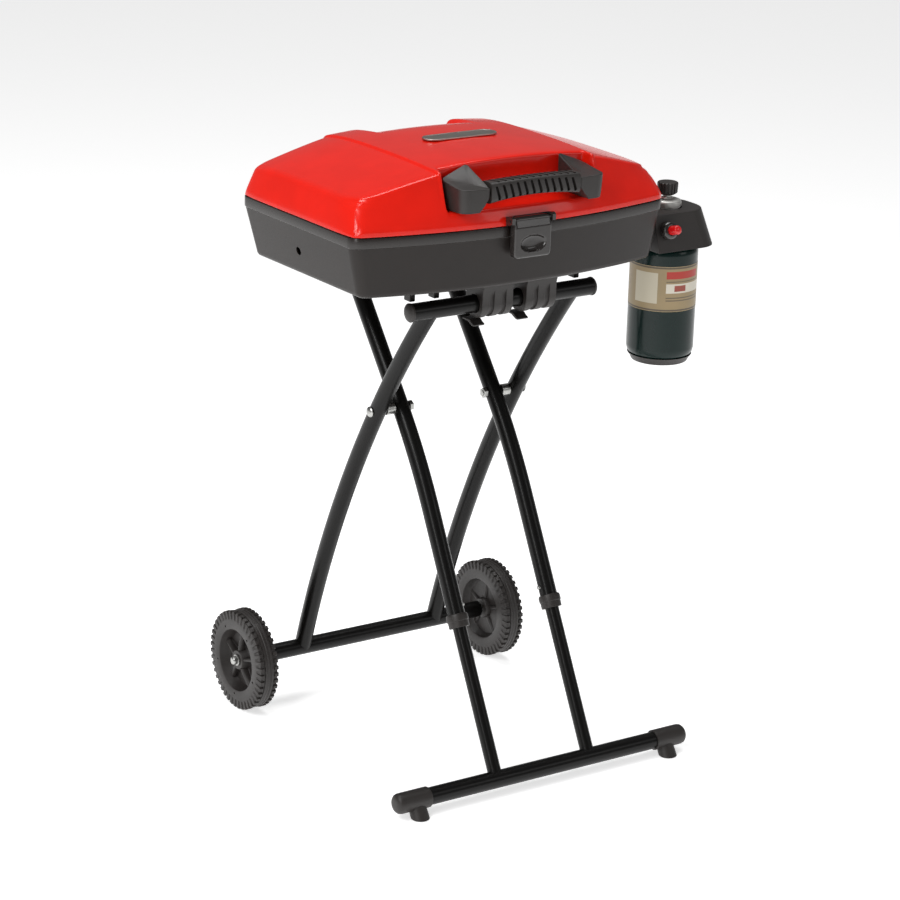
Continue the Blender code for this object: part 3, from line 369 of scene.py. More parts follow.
def lid_enamel():
    """Gloss enamel baked on pressed steel: deep colour under a hard clear shine, faint orange peel."""
    return surface("gloss_enamel_baked", looks().lid, 0.93, (0.20, 0.25), 4.0, 0.006,
                   {"Coat Weight": 0.25, "Coat Roughness": 0.05, "Specular IOR Level": 0.28})


def box_enamel():
    """High-temperature enamel on steel: soft satin with a fine sprayed grain."""
    return surface("satin_enamel_sprayed", looks().box, 0.86, (0.36, 0.46), 1.6, 0.010,
                   {"Specular IOR Level": 0.32})


def rim_enamel():
    """The same enamel rolled smooth over the rim, so it shines more than the wall."""
    return surface("satin_enamel_rim", looks().box, 0.92, (0.22, 0.28), 2.5, 0.004,
                   {"Specular IOR Level": 0.6})


def tube_paint():
    """Powder coat on steel tube: nearly black, glossy, with a slight orange peel."""
    return surface("powder_coat_gloss_black", looks().tubes, 0.85, (0.28, 0.34), 3.0, 0.006,
                   {"Coat Weight": 0.06, "Coat Roughness": 0.12, "Specular IOR Level": 0.22})


def handle_plastic():
    """Moulded glass-filled nylon: dull charcoal with a fine spark-eroded texture."""
    return surface("nylon_moulded_textured", looks().plastic, 0.88, (0.42, 0.54), 0.9, 0.020)


def latch_plastic():
    """Polished moulded phenolic: dark, with soft broad reflections."""
    return surface("phenolic_moulded_gloss", looks().plastic, 0.80, (0.14, 0.22), 3.0, 0.006,
                   {"Coat Weight": 0.4, "Coat Roughness": 0.08})


def wheel_plastic():
    """Blow-moulded polyethylene: dull, with slow blotches from the mould."""
    return surface("polyethylene_blow_moulded", looks().wheels, 0.80, (0.42, 0.54), 1.6, 0.025,
                   cloud=25.0)


def zinc():
    """Zinc-plated steel: pale metal with cloudy patches in its shine."""
    return surface("zinc_plated_steel", linear("#b9b9b6"), 0.82, (0.24, 0.40), 1.0, 0.01,
                   {"Metallic": 1.0}, cloud=6.0)


def die_cast():
    """Die-cast zinc, tumbled: pale and dull, with a faint cast skin."""
    return surface("zinc_die_cast", linear("#d2d1cd"), 0.88, (0.46, 0.58), 1.2, 0.012,
                   {"Metallic": 0.85}, cloud=9.0)


def burner_steel():
    """Stainless tube coloured by heat: straw and grey patches."""
    return surface("stainless_heat_tinted", linear("#8c8072"), 0.62, (0.28, 0.46), 1.4, 0.01,
                   {"Metallic": 1.0}, cloud=18.0)


def tray_metal():
    """Drawn aluminium sheet: bright and soft, with long draw marks."""
    return surface("aluminium_drawn", linear("#bdbcb8"), 0.90, (0.30, 0.42), 0.9, 0.012,
                   {"Metallic": 1.0})


def cast_iron():
    """Porcelain over sand-cast iron: black, half gloss, with the pebble of the casting."""
    return surface("cast_iron_porcelain", linear("#161515"), 0.75, (0.26, 0.44), 2.4, 0.09)


def badge_metal():
    """Brushed aluminium badge: fine lines along its length."""
    made = bpy.data.materials.get("aluminium_brushed")
    if made:
        return made
    made = surface("aluminium_brushed", linear("#b9b4ae"), 0.92, (0.26, 0.38), 0.5, 0.008,
                   {"Metallic": 1.0})
    tree = made.node_tree
    spot = tree.nodes["Texture Coordinate"].outputs["Object"]
    stretch = add_node(tree, "Mapping", {"Vector": spot, "Scale": (0.05, 1, 1)}).outputs["Vector"]
    for noise in [n for n in tree.nodes if n.bl_idname == "ShaderNodeTexNoise"]:
        tree.links.new(stretch, noise.inputs["Vector"])
    return made


def badge_field():
    """The sunk field of the badge: the same metal, etched darker and duller."""
    return surface("aluminium_etched", linear("#8f8a84"), 0.85, (0.40, 0.50), 0.8, 0.012,
                   {"Metallic": 1.0})


def cylinder_paint():
    """Green enamel on a drawn steel cylinder: smooth and glossy."""
    return surface("enamel_on_drawn_steel", looks().cylinder, 0.88, (0.20, 0.26), 3.0, 0.006,
                   {"Coat Weight": 0.12, "Coat Roughness": 0.08, "Specular IOR Level": 0.25})


def button_red():
    """Polished moulded acetal: clear bright red."""
    return surface("acetal_moulded_red", looks().button, 0.9, (0.18, 0.26), 2.0, 0.006,
                   {"Coat Weight": 0.3, "Coat Roughness": 0.1})


def paper_band():
    """Printed paper on the cylinder: matt tan with plain bars and panels, no lettering."""
    name = "paper_printed"
    made = bpy.data.materials.get(name)
    if made:
        return made
    made = surface(name, looks().paper, 0.92, (0.34, 0.44), 0.7, 0.008)
    tree = made.node_tree
    ground = next(n for n in tree.nodes if n.bl_idname == "ShaderNodeMix").outputs["Result"]
    spot = tree.nodes["Texture Coordinate"].outputs["Object"]
    middle = (-(GAS_AXIS[0] + STAND.x), -(GAS_AXIS[1] + STAND.y), 0)
    centred = add_node(tree, "Mapping", {"Vector": spot, "Location": middle}).outputs["Vector"]
    height = add_node(tree, "SeparateXYZ", {"Vector": centred}).outputs["Z"]
    round_it = add_node(tree, "TexGradient", {"Vector": centred}, gradient_type="RADIAL").outputs["Fac"]
    # Panels: from and to round the cylinder as shares of a turn, low and high in metres, colour.
    panels = ((0.0, 1.0, 0.6925, 0.6950, "#5d5242"), (0.0, 1.0, 0.6290, 0.6315, "#5d5242"),
              (0.16, 0.345, 0.6775, 0.6885, "#b3362c"), (0.16, 0.40, 0.6560, 0.6700, "#d9d2c2"),
              (0.0, 0.12, 0.6400, 0.6860, "#c8bfa9"), (0.55, 0.80, 0.6400, 0.6860, "#c8bfa9"),
              (0.16, 0.42, 0.6480, 0.6498, "#6f634f"), (0.16, 0.42, 0.6440, 0.6458, "#6f634f"),
              (0.20, 0.26, 0.6585, 0.6675, "#9a4a3c"), (0.16, 0.42, 0.6725, 0.6740, "#6f634f"))
    colour = ground
    for start, end, low, high, code in panels:
        inside = None
        for value, lower, upper in ((round_it, start, end), (height, low, high)):
            for operation, limit in (("GREATER_THAN", lower), ("LESS_THAN", upper)):
                test = add_node(tree, "Math", {0: value, 1: limit}, operation=operation).outputs[0]
                inside = test if inside is None else add_node(
                    tree, "Math", {0: inside, 1: test}, operation="MULTIPLY").outputs[0]
        mix = add_node(tree, "Mix", data_type="RGBA")
        tree.links.new(inside, mix.inputs["Factor"])
        tree.links.new(colour, mix.inputs["A"])
        mix.inputs["B"].default_value = (*linear(code), 1)
        colour = mix.outputs["Result"]
    tree.links.new(colour, tree.nodes["Principled BSDF"].inputs["Base Color"])
    return made


# ---------------------------------------------------------------- lines of the stand
def bowed_leg_line(count=40):
    """Y, Z points on the bow of a wheel-side leg."""
    top, foot = Vector(FRONT_TUBE), Vector(AXLE)
    half = (foot - top).length / 2
    radius = (half * half + CURVED_LEG_SAG ** 2) / (2 * CURVED_LEG_SAG)
    along = (foot - top).normalized()
    outward = Vector((-along.y, along.x))
    centre = (top + foot) / 2 - outward * (radius - CURVED_LEG_SAG)
    spread = math.asin(half / radius)
    angles = [-spread + 2 * spread * i / count for i in range(count + 1)]
    return [centre + radius * (math.sin(a) * along + math.cos(a) * outward) for a in angles]


def foot_leg(x, distance):
    """A point on a foot-side leg at a distance from the foot bar."""
    bent = min(max(distance - LEG_STRAIGHT, 0.0) / LEG_BEND_R, LEG_BEND)
    straight = min(distance, LEG_STRAIGHT)
    rest = max(distance - LEG_STRAIGHT - bent * LEG_BEND_R, 0.0)
    angle = LEG_SLOPE - bent
    y = straight * math.cos(LEG_SLOPE) + LEG_BEND_R * (math.sin(LEG_SLOPE) - math.sin(angle))
    z = straight * math.sin(LEG_SLOPE) + LEG_BEND_R * (math.cos(angle) - math.cos(LEG_SLOPE))
    return at(x, FOOT_BAR[0] + y + rest * math.cos(angle), FOOT_BAR[1] + z + rest * math.sin(angle))


LEG_AXIS = Vector((0, math.cos(LEG_SLOPE), math.sin(LEG_SLOPE)))


# ---------------------------------------------------------------- operators
class GRILL_OT_tubes(bpy.types.Operator):
    """Cross tubes, bowed legs, bent legs and sliding legs"""
    bl_idname = "grill.tubes"
    bl_label = "Tubes"

    def execute(self, context):
        paint = tube_paint()
        across = (("front_cross_tube", FRONT_TUBE, FRONT_TUBE_HALF, "wheel_frame"),
                  ("axle_tube", AXLE, AXLE_TUBE_HALF, "wheel_frame"),
                  ("rear_cross_tube", REAR_TUBE, REAR_TUBE_HALF, "foot_frame"),
                  ("foot_bar", FOOT_BAR, FOOT_BAR_HALF, "foot_extension"))
        for node, place, half, body in across:
            made = tube(node + "_painted", [at(-half, *place), at(half, *place)], TUBE_R)
            done(made, body, paint, [node])
        for side, sign in SIDES:
            line = [at(sign * CURVED_LEG_X, *point) for point in bowed_leg_line()]
            made = tube("curved_leg_%s_painted" % side, line, TUBE_R)
            done(made, "wheel_frame", paint, ["curved_leg_" + side])
            stops = [UPPER_LEG_END] + [LEG_STRAIGHT + i * 0.01 for i in range(18)] + [LEG_END]
            line = [foot_leg(sign * FOOT_LEG_X, stop) for stop in stops]
            made = tube("upper_leg_%s_painted" % side, line, TUBE_R)
            done(made, "foot_frame", paint, ["upper_leg_" + side])
            ends = [foot_leg(sign * FOOT_LEG_X, stop) for stop in (0, UPPER_LEG_END + 0.02)]
            made = tube("lower_leg_%s_painted" % side, ends, LOWER_LEG_R)
            done(made, "foot_extension", paint, ["lower_leg_" + side])
            profile = [(-0.0040, 0.0080), (-0.0006, 0.0112), (0.0003, 0.0134), (0.0022, 0.0136),
                       (0.0034, 0.0126), (0.0052, 0.0098), (0.0063, 0.0060), (0.0067, 0.0020)]
            made = turned("tube_plug_%s_moulded" % side, profile,
                          at(sign * FRONT_TUBE_HALF, *FRONT_TUBE), (sign, 0, 0))
            done(made, "wheel_frame", handle_plastic(), ["tube_plug_" + side], 50)
        return {"FINISHED"}


class GRILL_OT_fasteners(bpy.types.Operator):
    """Pivot bolts and nuts, wheel bolts, collars and spring buttons"""
    bl_idname = "grill.fasteners"
    bl_label = "Fasteners"

    def execute(self, context):
        outer, inner = CURVED_LEG_X + TUBE_R, FOOT_LEG_X - TUBE_R
        near, far = FOOT_LEG_X + TUBE_R, CURVED_LEG_X - TUBE_R
        for side, sign in SIDES:
            across = (sign, 0, 0)
            bolt = [(inner - 0.0080, 0.0034), (inner - 0.0076, 0.0040), (near, 0.0040), (near, 0.0080),
                    (near + 0.0006, 0.0085), (far - 0.0006, 0.0085), (far, 0.0080), (far, 0.0040),
                    (outer, 0.0040), (outer, 0.0076), (outer + 0.0006, 0.0079), (outer + 0.0018, 0.0074),
                    (outer + 0.0032, 0.0058), (outer + 0.0040, 0.0034), (outer + 0.0042, 0.0010)]
            made = turned("pivot_bolt_%s_plated" % side, bolt, at(0, *PIVOT), across, 32)
            done(made, "wheel_frame", zinc(), ["pivot_bolt_" + side], 40)
            nut = turned("pivot_nut_%s_plated" % side,
                         [(inner - 0.0066, 0.0062), (inner - 0.0060, 0.0078), (inner - 0.0008, 0.0078),
                          (inner - 0.0003, 0.0070), (inner - 0.0003, 0.0043), (inner - 0.0066, 0.0043)],
                         at(0, *PIVOT), across, 6, closed=True)
            done(soften(nut, 0.0003), "wheel_frame", zinc(), ["pivot_nut_" + side], 30)
            face = WHEEL_X + WHEEL_HALF
            stub = [(AXLE_TUBE_HALF - 0.02, 0.0112), (AXLE_TUBE_HALF, 0.0112), (AXLE_TUBE_HALF, 0.0050)]
            head = ((-0.0030, 0.0050), (-0.0030, 0.0084), (-0.0024, 0.0086), (-0.0014, 0.0084),
                    (-0.0008, 0.0066), (0.0034, 0.0064), (0.0052, 0.0052), (0.0060, 0.0028))
            stub += [(face + past, radius) for past, radius in head]
            made = turned("wheel_bolt_%s_plated" % side, stub, at(0, *AXLE), across, 32)
            done(made, "wheel_frame", zinc(), ["wheel_bolt_" + side], 40)
            collar = ((-0.0040, 0.0103), (-0.0045, 0.0110), (-0.0045, 0.0144), (-0.0035, 0.0150),
                      (0.0044, 0.0150), (0.0054, 0.0160), (0.0122, 0.0160), (0.0150, 0.0146),
                      (0.0155, 0.0128), (0.0020, 0.0126))
            collar = [(UPPER_LEG_END + past, radius) for past, radius in collar]
            made = turned("leg_collar_%s_moulded" % side, collar, foot_leg(sign * FOOT_LEG_X, 0),
                          LEG_AXIS, closed=True)
            done(made, "foot_frame", handle_plastic(), ["leg_collar_" + side], 35)
            pin = [(0.0100, 0.0030), (0.0146, 0.0030), (0.0160, 0.0025), (0.0168, 0.0015),
                   (0.0170, 0.0004)]
            made = turned("spring_button_%s_plated" % side, pin,
                          foot_leg(sign * FOOT_LEG_X, SPRING_BUTTON_AT), (-sign, 0, 0), 24)
            done(made, "button_" + side, zinc(), ["spring_button_" + side], 50)
        return {"FINISHED"}


class GRILL_OT_foot_caps(bpy.types.Operator):
    """Moulded caps on the ends of the foot bar, each with a peg to the floor"""
    bl_idname = "grill.foot_caps"
    bl_label = "Foot caps"

    def execute(self, context):
        peg_x, slant = 0.219, 0.0125
        sleeve = [(0.1990, 0.0128), (0.1990, 0.0144), (0.1998, 0.0150), (0.2400, 0.0150), (0.2462, 0.0149),
                  (0.2498, 0.0140), (0.2524, 0.0118), (0.2538, 0.0080), (0.2541, 0.0030)]
        # The peg's rings: share of the slant towards the front, height, radius.
        peg = ((1.0, 0.0, 0.0125), (1.0, 0.0008, 0.0135), (0.8, 0.0050, 0.0135), (0.35, 0.0150, 0.0128),
               (0.0, FOOT_BAR[1], 0.0122))
        for side, sign in SIDES:
            cap = turned("foot_cap_%s_moulded" % side, sleeve, at(0, *FOOT_BAR), (sign, 0, 0))
            rows = [ring(at(sign * peg_x, FOOT_BAR[0] - slant * share, z), (0, 0, 1), radius)
                    for share, z, radius in peg]
            cut(cap, skin("peg", rows, rolled=True, capped=True), "UNION")
            done(cap, "foot_extension", handle_plastic(), ["foot_cap_" + side], 40)
        return {"FINISHED"}


class GRILL_OT_wheels(bpy.types.Operator):
    """Moulded wheels with two rows of lugs, a dished face, spokes and a hub"""
    bl_idname = "grill.wheels"
    bl_label = "Wheels"

    def execute(self, context):
        centre = at(WHEEL_X, *AXLE)
        lugs, depth = looks().lug_count, looks().lug_depth
        half = WHEEL_HALF
        # Radius, distance in from the side, shares of the lug depth cut from the radius and the side.
        shoulder = ((0.0625, 0.0, 0.0, 0.0), (0.0645, 0.0, 0.0, 0.45), (0.0738, 0.0, 0.5, 0.55),
                    (WHEEL_R - 0.0004, 0.0008, 1.0, 0.45), (WHEEL_R, 0.0018, 1.0, 0.0),
                    (WHEEL_R, 0.0064, 1.0, 0.0), (0.0752, 0.0070, 0.6, 0.0), (0.0737, 0.0074, 0.0, 0.0),
                    (0.0737, 0.0084, 0.0, 0.0), (0.0750, 0.0090, 0.0, 0.0), (0.0752, 0.0116, 0.0, 0.0),
                    (0.0741, 0.0124, 0.0, 0.0), (0.0741, 0.0140, 0.0, 0.0), (0.0748, 0.0148, 0.0, 0.0))
        inner_face = [(-half + 0.0030, 0.0050), (-half + 0.0030, 0.0145), (-half + 0.0040, 0.0155),
                      (-half + 0.0115, 0.0170), (-half + 0.0120, 0.0185), (-half + 0.0118, 0.0420),
                      (-half + 0.0100, 0.0440), (-half + 0.0022, 0.0468), (-half + 0.0006, 0.0476),
                      (-half, 0.0488), (-half, 0.0600)]
        outer_face = [(half, 0.0600), (half, 0.0490), (half - 0.0006, 0.0478), (half - 0.0025, 0.0470),
                      (half - 0.0140, 0.0440), (half - 0.0170, 0.0420), (half - 0.0180, 0.0180),
                      (half - 0.0150, 0.0160), (half - 0.0045, 0.0150), (half - 0.0035, 0.0142),
                      (half - 0.0035, 0.0050)]
        rows = [[] for _ in range(len(inner_face) + 2 * len(shoulder) + len(outer_face))]
        samples = []
        for i in range(lugs):
            for offset, low in ((0.0, 0), (0.46, 0), (0.54, 1), (0.92, 1)):
                samples.append((math.tau * (i + offset) / lugs, low))
        for angle, low in samples:
            way = Vector((0, math.cos(angle), math.sin(angle)))
            line = list(inner_face)
            for r, w, radial, sideways in shoulder:
                line.append((-half + w + low * sideways * depth, r - low * radial * depth))
            for r, w, radial, sideways in reversed(shoulder):
                line.append((half - w - low * sideways * depth, r - low * radial * depth))
            line += outer_face
            for row, (w, r) in zip(rows, line, strict=True):
                row.append(centre + Vector((w, 0, 0)) + r * way)
        rows.append(rows[0])
        wheel = skin("wheel", rows, rolled=True)
        peg_holes = []
        for i in range(SPOKES):
            angle = math.tau * (i + 0.5) / SPOKES + SPOKE_TURN
            spot = centre + Vector((half - 0.0030, PEG_HOLE_REACH * math.cos(angle),
                                    PEG_HOLE_REACH * math.sin(angle)))
            peg_holes.append(turned("hole", [(0, 0.0017), (0.0100, 0.0017)], spot, (1, 0, 0), 12))
        cut(wheel, join(peg_holes, "holes"))
        # Reach from the axle, height over the web, half width.
        spoke_line = [(0.0130, 0.0105, 0.0048), (0.0180, 0.0100, 0.0046), (0.0300, 0.0080, 0.0048),
                      (0.0400, 0.0066, 0.0062), (0.0455, 0.0060, 0.0085)]
        spoke_rows = []
        for reach, top, wide in spoke_line:
            base, crest = half - 0.0178, half - 0.0178 + top + 0.003
            outline = [(base, -wide), (crest - 0.0020, -wide * 0.72), (crest, -wide * 0.30),
                       (crest, wide * 0.30), (crest - 0.0020, wide * 0.72), (base, wide)]
            spoke_rows.append([centre + Vector((w, reach, side)) for w, side in outline])
        spoke = skin("spoke", spoke_rows, rolled=True, capped=True)
        modify(spoke, "SUBSURF", levels=2, render_levels=2)
        flip = Matrix.Translation(centre) @ Matrix.Diagonal((-0.72, 1, 1, 1)) @ Matrix.Translation(-centre)
        parts = [wheel]
        for i in range(SPOKES):
            turn = turn_about(centre, "X", math.tau * i / SPOKES + SPOKE_TURN)
            parts += [copied(spoke, "spoke", turn), copied(spoke, "spoke", turn @ flip)]
        bpy.data.objects.remove(spoke, do_unlink=True)
        right = join(parts, "wheel_right_moulded")
        left = copied(right, "wheel_left_moulded", mirror_x())
        for obj, node in ((right, "wheel_right"), (left, "wheel_left")):
            done(obj, node, wheel_plastic(), [node], 35, weighted=False)
        return {"FINISHED"}


def outline_of(size, inset=0.0, corner=10, front=24):
    """X, Y points round the box: bowed front, straight back and round corners."""
    half, front_y, back_y, bow, radius = size
    half, front_y, back_y = half - inset, front_y + inset, back_y - inset
    radius = max(radius - inset, 0.004)
    middle = half - radius
    lean = math.atan(2 * bow * middle / half ** 2)
    touch = middle + radius * math.sin(lean)

    def front_at(x):
        return front_y - bow * (1 - (x / half) ** 2)

    def corner_points(cx, cy, start, end):
        angles = [start + (end - start) * i / corner for i in range(corner + 1)]
        return [(cx + radius * math.cos(a), cy + radius * math.sin(a)) for a in angles]

    right = corner_points(middle, front_at(touch) + radius * math.cos(lean), lean - math.pi / 2, 0)
    right += corner_points(middle, back_y - radius, 0, math.pi / 2)
    left = [(-x, y) for x, y in reversed(right)]
    edge = [-touch + 2 * touch * i / front for i in range(1, front)]
    return right + left + [(x, front_at(x)) for x in edge]


def level(size, z, inset=0.0):
    """The box's outline at one height."""
    return [at(x, y, z) for x, y in outline_of(size, inset)]


class GRILL_OT_firebox(bpy.types.Operator):
    """Pressed tub with a rolled rim band, an air hole and the guides under it"""
    bl_idname = "grill.firebox"
    bl_label = "Firebox"

    def execute(self, context):
        under, wall = RIM_Z - RIM_BAND, BOX_WALL
        # Outline, height and inset of each level, up the outside and down the inside.
        levels = ((BOX_BOTTOM, BOX_Z, 0.0090), (BOX_BOTTOM, BOX_Z + 0.0006, 0.0058),
                  (BOX_BOTTOM, BOX_Z + 0.0022, 0.0028), (BOX_BOTTOM, BOX_Z + 0.0046, 0.0008),
                  (BOX_BOTTOM, BOX_Z + 0.0080, 0.0), (BOX_RIM, under - 0.0028, RIM_STEP),
                  (BOX_RIM, under - 0.0012, RIM_STEP * 0.8), (BOX_RIM, under, 0.0003),
                  (BOX_RIM, under + 0.0012, 0.0), (BOX_RIM, RIM_Z - 0.0012, 0.0),
                  (BOX_RIM, RIM_Z - 0.0003, 0.0003), (BOX_RIM, RIM_Z, 0.0009),
                  (BOX_RIM, RIM_Z - 0.0006, wall), (BOX_RIM, under + 0.0010, wall),
                  (BOX_RIM, under - 0.0005, wall + RIM_STEP), (BOX_BOTTOM, BOX_Z + 0.0088, wall),
                  (BOX_BOTTOM, BOX_Z + 0.0036, wall + 0.0025), (BOX_BOTTOM, BOX_Z + wall, wall + 0.0090))
        tub = skin("firebox_pressed", [level(*row) for row in levels], rolled=True, capped=True)
        for spot, radius in ((at(-0.27, 0.006, BURNER_Z), 0.0060), (at(0.24, GAS_AXIS[1], BURNER_Z), 0.0100)):
            cut(tub, turned("hole", [(0, radius), (0.03, radius)], spot, (1, 0, 0), 32))
        done(tub, "grill_box", box_enamel(), ["firebox"], 30, weighted=False)
        tub.data.materials.append(rim_enamel())
        for face in tub.data.polygons:
            if face.center.z > under - 0.0010:
                face.material_index = 1
        self.add_guides()
        return {"FINISHED"}

    def add_guides(self):
        """Pairs of moulded cheeks under the box that ride beside the legs' upper ends."""
        cheeks, top = [], BOX_Z - 0.0002
        for _, sign in SIDES:
            for inner, outer in ((0.0960, 0.1050), (0.1365, 0.1455)):
                low, high = sorted((sign * inner, sign * outer))
                cheeks.append(slab("cheek", at(low, -0.1105, 0.6960), at(high, -0.0945, top), 0.0015))
                cheeks.append(slab("web", at(low + 0.003, -0.0950, 0.7080), at(high - 0.003, -0.0780, top),
                                   0.0010))
        guides = join(cheeks, "guide_cheeks_moulded")
        done(guides, "grill_box", handle_plastic(), (), 35)


class GRILL_OT_cooking(bpy.types.Operator):
    """Burner with its flame ports, gas pipe, grease tray and grates"""
    bl_idname = "grill.cooking"
    bl_label = "Burner and grates"

    def execute(self, context):
        (half_x, half_y), sides = BURNER_HALF, 96
        rows = []
        for i in range(sides + 1):
            angle = math.tau * (i % sides) / sides
            spot = at(half_x * math.cos(angle), half_y * math.sin(angle), BURNER_Z)
            way = Vector((-half_x * math.sin(angle), half_y * math.cos(angle), 0))
            rows.append(ring(spot, way, BURNER_R, 20))
        burner = skin("burner_bent", rows, rolled=True)
        ports = []
        for i in range(PORTS):
            angle = math.tau * i / PORTS
            spot = at(half_x * math.cos(angle), half_y * math.sin(angle), BURNER_Z + 0.0055)
            ports.append(turned("port", [(0, 0.0012), (0.005, 0.0012)], spot, (0, 0, 1), 8))
        cut(burner, join(ports, "ports"), solver="MANIFOLD")
        done(burner, "grill_box", burner_steel(), ["burner"], 40, weighted=False)
        run = ((0.3085, GAS_AXIS[1]), (0.235, GAS_AXIS[1]), (0.222, -0.0798), (0.213, -0.0768),
               (0.206, -0.0700), (0.2015, -0.0600), (0.1995, -0.0450), (0.1975, -0.0280),
               (0.1940, -0.0140), (0.1880, -0.0050), (0.1790, -0.0008), (0.1600, 0.0))
        pipe = tube("gas_pipe_bent", [at(x, y, BURNER_Z) for x, y in run], 0.0070)
        done(pipe, "grill_box", burner_steel(), ["gas_pipe"], 40)
        tray = refined("grease_tray", "grease_tray_drawn", 0.0010, 3, 25)
        done(tray, "grill_box", tray_metal(), ["grease_tray"], 40)
        for side, _ in SIDES:
            grate = refined("cooktop_" + side, "cooktop_%s_cast" % side, 0.0012, 2, 30)
            done(grate, "grill_box", cast_iron(), ["cooktop_" + side], 50)
        return {"FINISHED"}


def lid_top(x, y):
    """Height of the lid's top over its lower edge."""
    run = y - LID_PEAK_Y
    fall = LID_REAR_FALL * run ** 4 if run > 0 else LID_FRONT_FALL * run * run
    if abs(x) <= BAND_HALF:
        dish = DISH_SLOPE * max(y - DISH_START, 0.0) if abs(x) < DISH_HALF else 0.0
        return BAND_TOP - BAND_CROWN * (x / BAND_HALF) ** 2 - fall - dish
    share = min((abs(x) - BAND_HALF) / (SHOULDER_HALF - BAND_HALF), 1.0)
    edge = BAND_TOP - BAND_CROWN - BAND_STEP
    return edge - (edge - SHOULDER_TOP) * share ** 1.12 - fall * (1 - 0.35 * share)


SIDE_WALL = ((0.0, 0.0), (0.015, 0.0), (0.18, 0.0010), (0.52, 0.0063), (0.86, 0.0115), (0.950, 0.0135),
             (0.985, 0.0165), (1.0, 0.0205))


def side_inset(share):
    """How far the lid's side wall leans in at a share of its height."""
    for (low, near), (high, far) in zip(SIDE_WALL, SIDE_WALL[1:]):
        if share <= high:
            return near + (far - near) * max(share - low, 0.0) / (high - low)
    return SIDE_WALL[-1][1]


def round_corner(x, y, z, lean):
    """Pull a point of the lid in to the round corner of its level."""
    half, front_y, back_y, bow, radius = BOX_RIM
    inset = side_inset(z / (SHOULDER_TOP - 0.004))
    middle = half - inset - radius
    slope = math.atan(2 * bow * middle / half ** 2)
    touch = middle + radius * math.sin(slope)
    front = front_y - bow * (1 - (touch / half) ** 2) + lean * max(z - LID_FLANGE, 0.0)
    centre_y = front + radius * math.cos(slope)
    back_centre = back_y - LID_REAR_EDGE * min(z / SHOULDER_TOP, 1.0) - radius
    for middle_y, side in ((centre_y, -1), (back_centre, 1)):
        away = Vector((abs(x) - middle, y - middle_y))
        along = radius * math.sin(slope) if side < 0 else 0.0
        if away.x > along and away.y * side > 0 and away.length > radius:
            away *= radius / away.length
            return math.copysign(middle + away.x, x), middle_y + away.y
    return x, y


def lid_section(x, share):
    """Points over the lid at one X, from the front flange to the rear flange."""
    half, front_y, back_y, bow, _ = BOX_RIM
    front, back = front_y - bow * (1 - (x / half) ** 2), back_y
    recessed = abs(x) < RECESS_HALF
    rim_in = front + LID_FRONT_EDGE
    edge = 0.006
    z_rim = lid_top(x, rim_in)
    lean = LID_FRONT_EDGE / (z_rim - edge - LID_FLANGE)
    front_in = RECESS_BACK if recessed else front + lean * max((z_rim - edge) * share - LID_FLANGE, 0.0)
    back_in = back - LID_REAR_EDGE * share
    z_front, z_back = lid_top(x, front_in), lid_top(x, back_in)
    points = [(front, 0.0), (front, 0.0015), (front, LID_FLANGE - 0.0020), (front + 0.0003, LID_FLANGE),
              (front + lean * (RECESS_Z - 0.003 - LID_FLANGE), RECESS_Z - 0.003)]
    if recessed:
        points += [(points[-1][0] + 0.0015, RECESS_Z - 0.0008), (points[-1][0] + 0.005, RECESS_Z),
                   (front_in - 0.006, RECESS_Z + 0.001), (front_in - 0.0015, RECESS_Z + 0.0025)]
    else:
        points += [(front + lean * (z - LID_FLANGE), z)
                   for z in (RECESS_Z, RECESS_Z + 0.004, RECESS_Z + 0.008, RECESS_Z + 0.012)]
    if share < 1:
        points = [(front + lean * max(z * share - LID_FLANGE, 0.0), z) for _, z in points]
    points += [(front_in - 0.0010 * share, z_front - edge),
               (front_in - 0.0002 * share, z_front - 0.0030),
               (front_in + 0.0012, z_front - 0.0010), (front_in + edge, lid_top(x, front_in + edge))]
    inner_front, inner_back = front_in + edge, back_in - 2 * edge
    for i in range(1, 11):
        y = inner_front + (inner_back - inner_front) * i / 10
        points.append((y, lid_top(x, y)))
    points += [(back_in - 0.002, z_back - 0.0010), (back_in + 0.002 * share, z_back - 0.006),
               (back - 0.002 * share, LID_FLANGE + 0.012), (back, LID_FLANGE), (back, 0.0015), (back, 0.0)]
    return [at(*round_corner(x, y, z * share, lean), LID_Z + z * share) for y, z in points]


